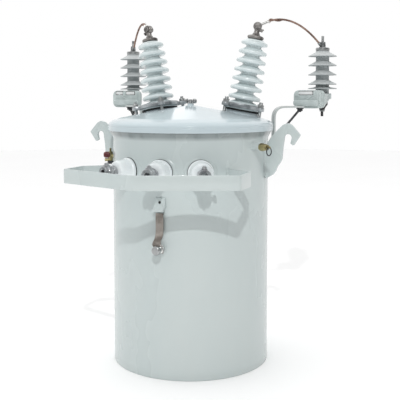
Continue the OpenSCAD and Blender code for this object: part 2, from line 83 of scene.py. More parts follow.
# %% [markdown]
# The camera comes first, so that every later piece can be looked at from the same place. It
# stands a little to the right of the low voltage side, level with the brackets, and its frame is
# shifted down to take in the whole tank without tilting the picture.

# %% Camera
CAMERA_PLACE = (823.9, -2158.9, 785.7)
CAMERA_TURN, CAMERA_TILT = math.radians(20.2), math.radians(86.2)
camera = bpy.data.objects.new("camera", bpy.data.cameras.new("camera"))
bpy.context.collection.objects.link(camera)
camera.location = Vector(CAMERA_PLACE) * MM
camera.rotation_euler = (CAMERA_TILT, 0, CAMERA_TURN)
camera.data.lens = 69.74
camera.data.sensor_width = 36
camera.data.shift_y = -0.1343
bpy.context.scene.camera = camera
print("camera at", camera.location)

# %% [markdown]
# # Shader maths as plain sums
# A Wire is an output socket that Python's operators work on, so a mask can be written as
# `1 - spots * 0.3`. A Finish is one material: a Principled shader, the constants set on its own
# sockets, and a method that makes any other node.

# %% Wire and Finish
class Wire:
    def __init__(self, finish, socket):
        self.finish, self.socket = finish, socket

    def _sum(self, operation, first, second):
        return self.finish.node("ShaderNodeMath", {"operation": operation}, {0: first, 1: second})

    def __add__(self, other):
        return self._sum("ADD", self, other)

    def __sub__(self, other):
        return self._sum("SUBTRACT", self, other)

    def __rsub__(self, other):
        return self._sum("SUBTRACT", other, self)

    def __mul__(self, other):
        return self._sum("MULTIPLY", self, other)

    __radd__ = __add__
    __rmul__ = __mul__


class Finish:
    def __init__(self, name, **constants):
        self.material = bpy.data.materials.new(name)
        self.material.use_nodes = True
        self.tree = self.material.node_tree
        self.shader = self.tree.nodes["Principled BSDF"]
        for socket, value in constants.items():
            self.shader.inputs[socket.replace("_", " ")].default_value = value
        self.place = self.node("ShaderNodeTexCoord", output="Object")

    def node(self, kind, settings=None, sockets=None, output=0):
        made = self.tree.nodes.new(kind)
        for name, value in (settings or {}).items():
            setattr(made, name, value)
        for name, value in (sockets or {}).items():
            if isinstance(value, Wire):
                self.tree.links.new(value.socket, made.inputs[name])
            else:
                made.inputs[name].default_value = value
        return Wire(self, made.outputs[output])

    def noise(self, scale, detail=3.0, stretch=(1, 1, 1), rough=0.55):
        place = self.node("ShaderNodeMapping", sockets={"Vector": self.place, "Scale": stretch})
        return self.node("ShaderNodeTexNoise", sockets={
            "Vector": place, "Scale": scale, "Detail": detail, "Roughness": rough})

    def spread(self, value, low, high):
        """A value's stretch between low and high becomes 0 to 1."""
        return self.node("ShaderNodeMapRange", {"interpolation_type": "SMOOTHSTEP"}, {
            "Value": value, "From Min": low, "From Max": high})

    def mix(self, factor, first, second):
        return self.node("ShaderNodeMix", {"data_type": "RGBA"}, {0: factor, 6: first, 7: second},
                         2)

    def feed(self, **wires):
        for socket, wire in wires.items():
            self.tree.links.new(wire.socket, self.shader.inputs[socket.replace("_", " ")])
        return self

    def bump(self, height, strength, distance):
        return self.node("ShaderNodeBump", sockets={
            "Height": height, "Strength": strength, "Distance": distance})


STUDIO_LIGHT = 1.09


def tone(red, green, blue):
    """A colour as it looks in full light, 0 to 255, becomes the surface's own linear colour."""
    def linear(part):
        part /= 255
        plain = part / 12.92 if part <= 0.04045 else ((part + 0.055) / 1.055) ** 2.4
        return plain / STUDIO_LIGHT
    return (linear(red), linear(green), linear(blue), 1.0)


print("a mid grey is", tone(128, 128, 128))

# %% [markdown]
# # Finishes
# Tank enamel is sprayed on: nearly one colour, with slow clouds of tone, a faint orange peel and
# a thin film of dust. One slow noise drives both its colour and its gloss.

# %% Enamel
def enamel(name, light, shade, gloss=0.26, rim_shade_band=None):
    """Sprayed enamel; the last argument names the heights over which painted shade under the lid's rim
    deepens to full.
    """
    paint = Finish(name, Coat_Weight=0.25, Coat_Roughness=0.08)
    clouds = paint.spread(paint.noise(3.2, 4.0, (1, 1, 0.45)), 0.3, 0.72)
    dust = paint.spread(paint.noise(38.0, 5.0, (1, 1, 0.5)), 0.45, 0.8)
    peel = paint.noise(420.0, 2.0)
    colour = paint.mix(clouds, shade, light)
    colour = paint.mix(dust * 0.03, colour, tone(222, 221, 214))
    # Painted shade: the top of the wall, under the lid's rim, is darkened towards grey, a little
    # unevenly with the dust.
    if rim_shade_band:
        height = paint.node("ShaderNodeSeparateXYZ", sockets={"Vector": paint.place}, output=2)
        rim_shade_mask = paint.spread(height, rim_shade_band[0] * MM, rim_shade_band[1] * MM)
        colour = paint.mix(rim_shade_mask * (0.7 + dust * 0.2), colour, tone(118, 126, 127))
    paint.feed(Base_Color=colour, Roughness=gloss + clouds * 0.03,
               Normal=paint.bump(peel, 0.03, 0.0002))
    return paint.material


tank_enamel = enamel("tank_enamel", tone(201, 210, 209), tone(193, 204, 204))
# The shell's enamel carries painted shade under the lid's rim.
shell_enamel = enamel("shell_enamel", tone(201, 210, 209), tone(193, 204, 204),
                      rim_shade_band=(wall_h - 3, wall_h + 12))
# Painted light: the lid's enamel is a lighter, bluer copy of the tank's, standing in for the light and
# reflections the cover catches from above.
lid_enamel_painted_sheen = enamel("lid_enamel_painted_sheen", tone(204, 217, 222), tone(194, 208, 213), 0.16)
arm_enamel = enamel("arm_enamel", tone(205, 209, 207), tone(190, 196, 195), 0.42)
print("enamels:", tank_enamel.name, shell_enamel.name, lid_enamel_painted_sheen.name, arm_enamel.name)

# %% [markdown]
# Porcelain is clay under a glassy glaze. The body colour is nearly even, the glaze pools a little
# darker in places and carries tiny pits, and a clear coat on top gives the sharp highlight.

# %% Porcelain glaze
def glaze(name, light, pooled, coat):
    clay = Finish(name, Roughness=0.30, Coat_Weight=coat, Coat_Roughness=0.06)
    pools = clay.spread(clay.noise(26.0, 3.0, (1, 1, 2.2)), 0.35, 0.7)
    pits = clay.spread(clay.noise(900.0, 1.0), 0.66, 0.75)
    clay.feed(Base_Color=clay.mix(pools * 0.6 + pits * 0.2, light, pooled),
              Roughness=0.22 + pools * 0.10, Normal=clay.bump(pits, 0.15, 0.0003))
    return clay.material


sky_glaze = glaze("sky_glaze", tone(220, 230, 231), tone(204, 216, 217), 0.55)
white_glaze = glaze("white_glaze", tone(240, 246, 247), tone(226, 233, 236), 0.5)
print("glazes:", sky_glaze.name, white_glaze.name)

# %% [markdown]
# Metals differ in how their surface was left: cast skins are grainy, plated bolts are finely
# streaked, and bare copper and brass brown with age in patches. One function covers them, with
# the grain's size and stretch, and how much the tarnish has spread.

# %% Metals
def metal(name, bright, dull, rough, grain=700.0, stretch=(1, 1, 1), tarnish=0.5, relief=0.0004,
          metallic=1.0):
    skin = Finish(name, Metallic=metallic)
    patches = skin.spread(skin.noise(34.0, 4.0), 0.62 - tarnish * 0.4, 0.86 - tarnish * 0.3)
    fine = skin.noise(grain, 3.0, stretch)
    colour = skin.mix(patches * 0.85, bright, dull)
    colour = skin.mix(skin.spread(fine, 0.4, 0.75) * 0.25, colour, dull)
    skin.feed(Base_Color=colour, Roughness=rough + patches * 0.16 + fine * 0.10,
              Normal=skin.bump(fine, 0.22, relief))
    return skin.material


cast_aluminium = metal("cast_aluminium", tone(196, 201, 204), tone(112, 118, 121), 0.30, 520.0,
                       tarnish=0.55, relief=0.0006, metallic=0.85)
plated_steel = metal("plated_steel", tone(178, 180, 180), tone(98, 101, 102), 0.28, 900.0,
                     (1, 1, 0.2))
tinned_casting = metal("tinned_casting", tone(206, 208, 210), tone(96, 99, 104), 0.24, 320.0,
                       relief=0.0006, metallic=0.85)
bright_tin = metal("bright_tin", tone(250, 250, 248), tone(214, 212, 206), 0.26, 800.0,
                   tarnish=0.3)
dulled_bronze = metal("dulled_bronze", tone(158, 155, 152), tone(84, 80, 79), 0.34, 600.0,
                      tarnish=0.55, metallic=0.85)
dark_rod = metal("dark_rod", tone(86, 88, 90), tone(38, 39, 41), 0.42, 500.0, tarnish=0.6,
                 metallic=0.6)
browned_copper = metal("browned_copper", tone(182, 152, 138), tone(104, 82, 74), 0.42, 700.0,
                       tarnish=0.6, metallic=0.7)
aged_brass = metal("aged_brass", tone(186, 176, 132), tone(96, 90, 66), 0.30, 600.0,
                   tarnish=0.6)
strap_metal = metal("strap_metal", tone(172, 165, 158), tone(122, 114, 107), 0.48, 900.0,
                    (3, 1, 0.3), 0.5, 0.0006, 0.5)
print("metals made")

# %% [markdown]
# The arrester sheds and their bracket are moulded: silicone rubber that is matt, with its up-facing
# faces painted paler as a painted top light, and glass-filled polyester with a faint mottle. Gaskets
# are black rubber; the disconnector is a black moulding, and the bond connector's cap is a red-brown
# one.

# %% Mouldings and rubber
def moulded(name, light, dark, rough, mottle=24.0, relief=0.0003, top_light=0.0):
    """A matt moulding; the last argument is how much paler the up-facing faces are painted, a painted
    top light.
    """
    body = Finish(name, Specular_IOR_Level=0.4)
    patches = body.spread(body.noise(mottle, 4.0), 0.25, 0.8)
    grain = body.noise(1100.0, 2.0)
    colour = body.mix(patches, dark, light)
    # Painted light: faces that look up are mixed towards a pale grey.
    if top_light:
        facing = body.node("ShaderNodeNewGeometry", output=1)
        upward = body.node("ShaderNodeSeparateXYZ", sockets={"Vector": facing}, output=2)
        colour = body.mix(body.spread(upward, 0.15, 0.7) * top_light, colour, tone(214, 218, 218))
    body.feed(Base_Color=colour,
              Roughness=rough + patches * 0.12 - grain * 0.05,
              Normal=body.bump(grain, 0.10, relief))
    return body.material


# The sheds get painted top light on their up-facing faces.
shed_rubber = moulded("shed_rubber", tone(172, 178, 179), tone(156, 162, 163), 0.50, top_light=0.75)
bracket_moulding = moulded("bracket_moulding", tone(204, 214, 213), tone(188, 198, 197), 0.30, 60.0)
pale_panel = moulded("pale_panel", tone(240, 241, 240), tone(226, 228, 228), 0.35)
# This black also paints the shade in the gaps round the bracket's panels.
black_moulding_and_painted_shade = moulded("black_moulding_and_painted_shade", tone(38, 39, 41), tone(22, 22, 24), 0.26)
# This black rubber also paints the shade in the ground tab's hole and round the low voltage bushings'
# feet.
gasket_rubber = moulded("gasket_rubber", tone(34, 34, 36), tone(18, 18, 19), 0.55)
red_cap = moulded("red_cap", tone(112, 46, 48), tone(80, 28, 32), 0.28)
print("mouldings made")

# %% [markdown]
# # Mesh tools
# Almost everything here is turned, cut from plate, bent from bar or drawn from rod, so a few
# tools make it all: a lathe for turned pieces, a slab for plate, a ribbon for bent bar and a
# sweep for rod. Every outline gets soft corners, because an edge that catches no light looks
# false. The tools work in millimetres, and the last step scales to metres.

# %% Outlines
def rounded(points, closed=True, steps=4):
    """Corners (x, y, radius) become a smooth run of points, with a small curve at each."""
    path = []
    for i, (x, y, radius) in enumerate(points):
        here = Vector((x, y))
        if radius <= 0 or (not closed and i in (0, len(points) - 1)):
            path.append(here)
            continue
        before = Vector(points[i - 1][:2]) - here
        after = Vector(points[(i + 1) % len(points)][:2]) - here
        half = before.angle(after) / 2
        if half > math.radians(89):
            path.append(here)
            continue
        reach = min(radius / math.tan(half), before.length * 0.49, after.length * 0.49)
        enter, leave = here + before.normalized() * reach, here + after.normalized() * reach
        for k in range(steps + 1):
            t = k / steps
            path.append(enter * (1 - t) ** 2 + here * 2 * t * (1 - t) + leave * t * t)
    return path


def inset(outline, depth):
    """The outline moved inwards by depth, corner by corner."""
    pairs = zip(outline, outline[1:] + outline[:1])
    side = 1 if sum(a.x * b.y - b.x * a.y for a, b in pairs) > 0 else -1
    moved = []
    for i, here in enumerate(outline):
        before = (here - outline[i - 1]).normalized()
        after = (outline[(i + 1) % len(outline)] - here).normalized()
        across = Vector((-after.y, after.x))
        lean = (Vector((-before.y, before.x)) + across).normalized()
        moved.append(here + lean * depth * side / max(lean.dot(across), 0.5))
    return moved


def ribbon(path, thick):
    """Outline of a bar of even thickness bent along a path."""
    sides = ([], [])
    for i, here in enumerate(path):
        before = (path[max(i, 1)] - path[max(i, 1) - 1]).normalized()
        after = (path[min(i + 1, len(path) - 1)] - path[min(i, len(path) - 2)]).normalized()
        across = Vector((-after.y, after.x))
        lean = (Vector((-before.y, before.x)) + across).normalized()
        step = lean * thick / 2 / max(lean.dot(across), 0.5)
        sides[0].append(here + step)
        sides[1].append(here - step)
    return sides[0] + sides[1][::-1]


print("a rounded square has", len(rounded([(0, 0, 1), (9, 0, 1), (9, 9, 1), (0, 9, 1)])), "points")

# %% [markdown]
# Most pieces are either turned on a lathe, cut from plate, or swept along a path. All three can
# be a skin over rows of points, so one function makes the skin and the others lay out its rows.

# %% Solids
def skin_rows(rows, ring=False, loop=True):
    """A mesh skinned over rows of points; a row of one point is a pole."""
    bm = bmesh.new()
    made = [[bm.verts.new(p) for p in row] for row in rows]
    pairs = list(zip(made, made[1:])) + ([(made[-1], made[0])] if ring else [])
    for lower, upper in pairs:
        count = max(len(lower), len(upper))
        for i in range(count if loop else count - 1):
            j = (i + 1) % count
            corners = [lower[i % len(lower)], lower[j % len(lower)],
                       upper[j % len(upper)], upper[i % len(upper)]]
            corners = list(dict.fromkeys(corners))
            if len(corners) > 2:
                bm.faces.new(corners)
    return bm


def circle(radius, z, sides):
    if radius < 1e-6:
        return [(0, 0, z)]
    turns = [2 * math.pi * i / sides for i in range(sides)]
    return [(radius * math.cos(a), radius * math.sin(a), z) for a in turns]


def lathe(profile, sides=72, ring=False):
    """A turned solid; the profile is (radius, height) points, a ring's profile is closed."""
    return skin_rows([circle(r, z, sides) for r, z in profile], ring)


def drum(radius, low, high, soft=0.6, sides=48):
    return lathe([(0, low), (radius - soft, low), (radius, low + soft), (radius, high - soft),
                  (radius - soft, high), (0, high)], sides)


def washer(outer, inner, low, high, soft=0.5, sides=48):
    return lathe([(inner, low), (outer - soft, low), (outer, low + soft), (outer, high - soft),
                  (outer - soft, high), (inner, high)], sides, ring=True)


# %% [markdown]
# A plate is an outline pushed up between two heights, with its edges a little rounded so that
# they catch the light as cut and painted edges do.

# %% Plates
def slab(outline, low, high, soft=1.0):
    """Plate cut to an outline, with softened edges."""
    rows = []
    for depth, z in ((1, low), (0.3, low + 0.3 * soft), (0, low + soft),
                     (0, high - soft), (0.3, high - 0.3 * soft), (1, high)):
        rows.append([(p.x, p.y, z) for p in (inset(outline, depth * soft) if depth else outline)])
    bm = skin_rows(rows)
    bm.verts.ensure_lookup_table()
    count = len(outline)
    bm.faces.new(bm.verts[:count])
    bm.faces.new(bm.verts[-count:])
    return bm


def pierced(outer, hole_r, low, high, soft=1.0, sides=120):
    """A plate round a hole; outer gives the plate's reach in each direction from the hole."""
    rows = []
    for inner, depth, z in ((1, 0, low), (0, soft, low), (0, 0, low + soft),
                            (0, 0, high - soft), (0, soft, high), (1, 0, high)):
        row = []
        for i in range(sides):
            a = 2 * math.pi * i / sides
            reach = hole_r if inner else outer(a) - depth
            row.append((reach * math.cos(a), reach * math.sin(a), z))
        rows.append(row)
    return skin_rows(rows, ring=True)


# %% [markdown]
# Rods, wires, threads and weld beads are a round section carried along a path, so one function
# sweeps them all and the radius may change on the way.

# %% Swept pieces
def sweep(points, radius, sides=12, start=Vector((0, 0, 1))):
    """Rod along a path. The radius may be a number or a function of the step."""
    size = radius if callable(radius) else lambda i: radius
    rows, across = [], start
    for i, here in enumerate(points):
        along = (points[min(i + 1, len(points) - 1)] - points[max(i - 1, 0)]).normalized()
        across = (across - along * across.dot(along))
        if across.length < 1e-4:
            across = along.orthogonal()
        across.normalize()
        up = along.cross(across)
        rows.append([here + size(i) * (math.cos(a) * across + math.sin(a) * up)
                     for a in (2 * math.pi * k / sides for k in range(sides))])
    return skin_rows([[points[0]]] + rows + [[points[-1]]])


def nut(corner_r, low, high, sides=48):
    """Hexagon with its corners turned off at both ends."""
    rows = [[(0, 0, low)]]
    chamfer = corner_r * 0.12
    for limit, z in ((0.90, low), (1.0, low + chamfer), (1.0, high - chamfer), (0.90, high)):
        row = []
        for i in range(sides):
            a = 2 * math.pi * i / sides
            flat = corner_r * math.cos(math.pi / 6) / math.cos(a % (math.pi / 3) - math.pi / 6)
            reach = min(flat, corner_r * limit)
            row.append((reach * math.cos(a), reach * math.sin(a), z))
        rows.append(row)
    return skin_rows(rows + [[(0, 0, high)]])


def thread(radius, low, high, pitch=2.0, sides=20):
    """Stud with a screw thread and a small point at its end."""
    steps = max(4, int((high - low) / pitch * 4))
    rows = [[(0, 0, low)]]
    for s in range(steps + 1):
        z = low + (high - low) * s / steps
        row = []
        for i in range(sides):
            a = 2 * math.pi * i / sides
            cut = 0.5 - 0.5 * math.cos(2 * math.pi * (z / pitch) - a)
            reach = radius - 0.1 * radius * cut - (0.12 * radius if s in (0, steps) else 0)
            row.append((reach * math.cos(a), reach * math.sin(a), z))
        rows.append(row)
    return skin_rows(rows + [[(0, 0, high)]])


draw = random.Random(11)


def weld(points, radius):
    """A bead of weld: a rod with the small ripples that the torch leaves."""
    dense = []
    for a, b in zip(points, points[1:]):
        count = max(2, int((b - a).length / 1.2))
        dense += [a.lerp(b, k / count) for k in range(count)]
    dense.append(points[-1])
    lumps = [draw.uniform(0.9, 1.12) for _ in range(len(dense) // 3 + 2)]
    return sweep(dense, lambda i: radius * lumps[i // 3] * (1 + 0.10 * math.sin(i * 1.9)), 8)


print("a nut has", len(nut(8, 0, 6).faces), "faces")

# %% [markdown]
# A piece is shaped lying or standing at the origin, where its sizes are easy to read, and then
# placed with a matrix. Handing it over gives it its finish, its body and the node it stands for.

# %% Joining, placing and handing over
UPRIGHT = Matrix.Rotation(math.pi / 2, 4, "X")
ALONG_X = Matrix.Rotation(math.pi / 2, 4, "Y")
ACROSS = Matrix(((0, 0, 1, 0), (1, 0, 0, 0), (0, 1, 0, 0), (0, 0, 0, 1)))
MIRROR = Matrix.Scale(-1, 4, Vector((1, 0, 0)))


def at(x, y, z):
    return Matrix.Translation((x, y, z))


def turned(degrees, axis="Z"):
    return Matrix.Rotation(math.radians(degrees), 4, axis)


def placed(bm, matrix):
    bm.transform(matrix)
    return bm


def merged(*parts):
    whole = bmesh.new()
    for part in parts:
        mesh = bpy.data.meshes.new("part")
        part.to_mesh(mesh)
        whole.from_mesh(mesh)
        bpy.data.meshes.remove(mesh)
        part.free()
    return whole


def piece(name, bm, finish, slot, *nodes, crease=38):
    """Hands one finished piece to the frame: its body and the nodes it stands for; slot is not used."""
    bmesh.ops.recalc_face_normals(bm, faces=bm.faces[:])
    bm.transform(Matrix.Scale(MM, 4))
    mesh = bpy.data.meshes.new(name)
    bm.to_mesh(mesh)
    bm.free()
    mesh.materials.append(finish)
    mesh.shade_smooth()
    mesh.set_sharp_from_angle(angle=math.radians(crease))
    made = bpy.data.objects.new(name, mesh)
    bpy.context.collection.objects.link(made)
    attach(made, "root")
    if nodes:
        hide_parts(*nodes)
    print(f"{name}: {len(mesh.polygons)} faces")
    return made


def pair(name, build, finish, slot, *nodes, crease=38):
    """A piece for each side: the left one is the right one's mirror image."""
    for side in ("left", "right"):
        bm = build()
        if side == "left":
            bm.transform(MIRROR)
        piece(f"{name}_{side}", bm, finish, slot, *[f"{node}_{side}" for node in nodes],
              crease=crease)


AT_BUSHING = (Matrix.Translation(hv_foot) @ Matrix.Rotation(HV_TURN, 4, "Z")
              @ Matrix.Rotation(HV_LEAN, 4, "Y"))
AT_ARRESTER = Matrix.Translation(arrester_foot)
print("tools ready")

# %% [markdown]
# # The tank
# The tank is rolled from sheet, welded up the back, and flared at its mouth to seat the cover.
# Rolled sheet is never quite round, so the wall is a lathe turning with slow dents of a few
# hundredths of a millimetre, which only show in how the light runs over it. The upright seam weld is at
# the back.

# %% Tank wall
WALL_SIDES, WALL_ROWS, DENT = 240, 26, 0.03
straight = [(tank_r, 2 + (wall_h - 12) * k / WALL_ROWS, 0) for k in range(WALL_ROWS)]
wall_profile = rounded([(tank_r - SHEET, 1, 0), (tank_r - 1, 0, 0)] + straight + [
    (tank_r, wall_h, 14), (mouth.x, mouth.z, 1.5), (mouth.x - SHEET, mouth.z, 0),
    (tank_r - SHEET, wall_h + 1, 8)])
wall = lathe([(p.x, p.y) for p in wall_profile], WALL_SIDES, ring=True)
for vert in wall.verts:
    around = Vector((vert.co.x, vert.co.y, 0)).normalized()
    vert.co += around * DENT * noise.noise(vert.co * 0.011)
seam = turned(97) @ Vector((tank_r + 0.4, 0, 0))
seam_bead = weld([seam + Vector((0, 0, z)) for z in range(4, int(wall_h) - 2, 40)], 2.4)
piece("tank_shell", merged(wall, seam_bead), shell_enamel, "tank_paint", "tank_wall")
for node, finish in (("tank_bottom", tank_enamel), ("cover_gasket", gasket_rubber)):
    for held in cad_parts[node].material_slots:
        held.material = finish
print("seam weld at", seam)

# %% [markdown]
# The cover is pressed from one disc: an upright rim that grips the mouth, a rolled shoulder, and
# a shallow cone that sheds rain. Each bushing stands on a short round seat, and the bond clamp on
# a boss at the top. The turned profile carries the soft shoulder that the light shows up.

# %% Cover
SEAT_R, SEAT_H, BOSS_R = 50, 9, 9
cover_top = box_mm("cover")[1].z
rim_r = box_mm("cover")[1].x
rim_top = mouth.z + 25
cone_top = cover_top - 6
outside = rounded([
    (rim_r - SHEET, mouth.z, 0), (rim_r - 0.4, mouth.z, 0.4), (rim_r, mouth.z + 3, 2),
    (rim_r, rim_top - 13, 1), (rim_r - 1.1, rim_top - 11.6, 1), (rim_r - 0.2, rim_top - 10, 1),
    (rim_r - 1.2, rim_top - 5.5, 3), (rim_r - 4.4, rim_top - 1.5, 4),
    (tank_r + 2, rim_top + 4, 10), (tank_r - 21, rim_top + 11.5, 26), (90, cone_top - 13.5, 60),
    (15, cone_top, 6), (BOSS_R + 0.5, cone_top + 1.5, 2), (BOSS_R, cover_top, 1.5),
    (0, cover_top, 0)],
    closed=False, steps=6)
inside = [(0, cone_top - 4), (tank_r - 21, rim_top + 8), (tank_r - 2, rim_top - 1),
          (tank_r - 2, mouth.z + 3), (rim_r - SHEET, mouth.z + 3)]
lid = lathe(inside + [(p.x, p.y) for p in outside], 180)
seats = []
for side in (Matrix.Identity(4), MIRROR):
    seat = lathe([(0, -SEAT_H), (SEAT_R, -SEAT_H), (SEAT_R, SEAT_H - 1), (SEAT_R - 1, SEAT_H),
                  (0, SEAT_H)])
    seats.append(placed(seat, side @ AT_BUSHING))
piece("tank_cover", merged(lid, *seats), lid_enamel_painted_sheen, "tank_paint", "cover")

# %% [markdown]
# A bond clamp holds an earth wire to the middle of the cover: a saddle on a stud, with a cross
# bolt through it. It is small, so plated steel and real nuts are enough.

# %% Bond clamp on the cover
def bond_clamp():
    bolt_z = 7
    cross = [placed(bm, at(0, 0, bolt_z) @ ALONG_X) for bm in (
        thread(4, -17, 17), nut(6.8, -17, -11.5), nut(6.8, 11.5, 17), washer(7.5, 4, -11, -9.6),
        washer(7.5, 4, 9.6, 11))]
    saddle = slab(rounded([(-8, 0, 1), (-8, 5, 1), (-5, 12, 4), (5, 12, 4), (8, 5, 1), (8, 0, 1)]),
                  -4.5, 4.5, 0.8)
    return placed(merged(*cross, placed(saddle, UPRIGHT @ turned(90, "Y"))), at(0, 0, cover_top))


piece("cover_bond_clamp", bond_clamp(), plated_steel, "plated_steel", "cover_connector")

# %% [markdown]
# # High voltage bushings
# Each bushing is a hollow porcelain insulator that leads the line voltage through the cover. Its
# sheds make the surface path long and keep it dry. A lathe suits it: one profile with a rounded
# lip and a hollowed underside for every shed, the sheds shrinking towards the top.

# %% Porcelain
HV_SHEDS, HV_PITCH, HV_FIRST, HV_TOP = 7, 27.3, 50, 226.3
HV_SHED_R, HV_CORE_R, HV_FOOT_Z, HV_CLAMP_Z, HV_CLAMP_H = 48.8, 25, 14, 18, 13


def bushing_profile():
    corners = [(0, HV_FOOT_Z, 0), (56, HV_FOOT_Z, 1), (56, HV_CLAMP_Z, 1),
               (48, HV_CLAMP_Z + 0.5, 0),
               (45, HV_CLAMP_Z + HV_CLAMP_H + 2, 3)]
    for i in range(HV_SHEDS):
        lip = HV_SHED_R - 0.24 * i * i
        core = HV_CORE_R - 2.5 * i / HV_SHEDS
        z = HV_FIRST + i * HV_PITCH
        corners += [(core, z - 9.5, 4), (core + 5, z - 6.4, 3), (lip - 7, z - 6.6, 3),
                    (lip - 1.4, z - 5.2, 3), (lip + 0.2, z - 0.4, 3), (lip - 1.6, z + 4.6, 3.4),
                    (lip - 9, z + 7.6, 9), (core + 6, z + 10.5, 6), (core, z + 14.5, 6)]
    del corners[-1]
    return rounded(corners + [(22.5, HV_TOP, 1), (0, HV_TOP, 0)], closed=False, steps=4)


bushing_points = [(p.x, min(p.y, HV_TOP)) for p in bushing_profile()]
pair("hv_porcelain", lambda: placed(lathe(bushing_points, 96), AT_BUSHING), sky_glaze, "porcelain",
     "hv_bushing", crease=60)

# %% [markdown]
# The bushing stands on a thick black gasket and is held down by a cast clamp ring with four ears.
# The ring's outline is worked out by direction: the ring's own radius, or an ear where one sticks
# out, eased into each other as a foundry would.

# %% Gasket and clamp ring
STUD_CIRCLE, EAR_R, RING_R = 74, 11, 64


def clamp_reach(angle):
    off = abs((angle - math.pi / 4 + math.pi / 4) % (math.pi / 2) - math.pi / 4)
    across = STUD_CIRCLE * math.sin(off)
    if across < EAR_R:
        ear = STUD_CIRCLE * math.cos(off) + math.sqrt(EAR_R ** 2 - across ** 2)
    else:
        ear = 0
    neck = RING_R + 10 * max(0.0, 1 - off / 0.34) ** 2
    return max(RING_R, ear, neck)


def clamp_ring():
    flange = pierced(clamp_reach, 49, HV_CLAMP_Z, HV_CLAMP_Z + HV_CLAMP_H - 3, 1.2, 288)
    collar = lathe([(48.5, HV_CLAMP_Z + 2), (61, HV_CLAMP_Z + 8), (60, HV_CLAMP_Z + HV_CLAMP_H - 1),
                    (58, HV_CLAMP_Z + HV_CLAMP_H), (50, HV_CLAMP_Z + HV_CLAMP_H),
                    (48.5, HV_CLAMP_Z + HV_CLAMP_H - 1)], 96, ring=True)
    return placed(merged(flange, collar), AT_BUSHING)


def bushing_gasket():
    return placed(lathe([(40, 9), (55.5, 9), (57, 11.5), (55.5, 14), (40, 14)], 96, ring=True),
                  AT_BUSHING)


pair("hv_clamp_ring", clamp_ring, cast_aluminium, "cast_aluminium", "hv_clamp")
pair("hv_foot_gasket", bushing_gasket, gasket_rubber, "gasket_rubber", "hv_gasket")

# %% [markdown]
# Four studs come up from the cover through the ears, each with a washer and a nut. A real screw
# thread is only a ripple in the radius that climbs as it turns.

# %% Clamp studs
def clamp_studs():
    parts = []
    for k in range(4):
        spot = AT_BUSHING @ turned(45 + 90 * k) @ at(STUD_CIRCLE, 0, 0)
        parts += [placed(bm, spot) for bm in (
            thread(5, -12, 44), washer(10.5, 5, 28, 29.8), nut(9, 29.8, 37.2))]
    return merged(*parts)


pair("hv_clamp_studs", clamp_studs, plated_steel, "plated_steel", "hv_studs")

# %% [markdown]
# On top sits a dark bronze cap, and above its neck a round eye that clamps the line. The eye is a
# drum lying on its side with a slotted bolt through it; the jaws show as turned grooves.

# %% Cap and eye
EYE_Z = 266.3
CAP_FOOT = HV_TOP + 0.2


def bushing_cap():
    profile = rounded([(0, 0, 0), (20, 0, 0), (24.5, 2.5, 2), (24.8, 8, 2.5), (21, 11, 3),
                       (13, 13, 3), (10, 17, 2), (0, 17, 0)], closed=False)
    return placed(lathe([(p.x, p.y) for p in profile]), AT_BUSHING @ at(0, 0, CAP_FOOT))


def bushing_eye():
    neck = placed(lathe([(0, 0), (11, 0), (9, 3), (7.6, 8), (8, 14), (9, 24), (0, 24)], 40),
                  at(0, 0, CAP_FOOT + 16.5))
    jaw = rounded([(0, -8, 0), (11.5, -8, 1), (13, -6.5, 1), (13, -1.5, 0.6), (12, -0.8, 0.4),
                   (12, 0.8, 0.4), (13, 1.5, 0.6), (13, 6.5, 1), (11.5, 8, 1), (0, 8, 0)],
                   closed=False)
    lying = at(0, 0, EYE_Z) @ turned(90, "X")
    head = rounded([(0, 8, 0), (9, 8, 0), (9, 12.5, 1.5), (6.5, 14.5, 1.5), (0, 14.8, 0)],
                   closed=False)
    parts = [neck] + [placed(bm, lying) for bm in (
        lathe([(p.x, p.y) for p in jaw], 48), lathe([(p.x, p.y) for p in head], 40),
        nut(8.5, -15, -8.5), thread(4, -18, -14))]
    set_bolt = [placed(bm, at(9, 0, EYE_Z - 13) @ turned(64, "Y")) for bm in (
        thread(3, -2, 12), nut(5.5, 3, 7.5))]
    return placed(merged(*parts, *set_bolt), AT_BUSHING)


pair("hv_cap_disc", bushing_cap, dulled_bronze, "dull_metal", "hv_cap")
pair("hv_eye", bushing_eye, dulled_bronze, "dull_metal", "hv_terminal")

# %% [markdown]
# # Jumper leads
# A stiff stranded copper lead joins each eye to its arrester. It is fixed at both ends, so it
# keeps the arch it was bent to. The route is one smooth curve, and six strands wind round a
# seventh, as in real cable; each strand is swept on its own so the lay catches the light.

# %% Route and strands
LEAD_R, CAP_TOP = 3.2, 145.8
KNEE_UP, KNEE_DOWN = 47, 84
lead_from = hv_foot + EYE_Z * hv_axis
lead_to = arrester_foot + Vector((0, 0, CAP_TOP - 1))
third = (lead_to - lead_from) / 3
knees = (lead_from, lead_from + Vector((third.x, third.y, KNEE_UP)),
         lead_to + Vector((-third.x, -third.y, KNEE_DOWN)), lead_to)


def lead_point(t):
    u = 1 - t
    return (knees[0] * u ** 3 + knees[1] * 3 * u * u * t + knees[2] * 3 * u * t * t + knees[3] * t ** 3)


def stranded(start, end, steps=96, lay=52.0):
    path = [lead_point(start + (end - start) * i / steps) for i in range(steps + 1)]
    flat = Vector((-third.y, third.x, 0)).normalized()
    run, strands = 0.0, [[] for _ in range(6)]
    for i, here in enumerate(path):
        along = (path[min(i + 1, steps)] - path[max(i - 1, 0)]).normalized()
        up = along.cross(flat)
        run += (here - path[max(i - 1, 0)]).length
        for k, strand in enumerate(strands):
            a = 2 * math.pi * (k / 6 + run / lay)
            strand.append(here + LEAD_R * 0.66 * (math.cos(a) * flat + math.sin(a) * up))
    return merged(sweep(path, LEAD_R * 0.4, 6), *[sweep(s, LEAD_R * 0.36, 7) for s in strands])


LUG_END, TAIL_END = 0.165, 0.36


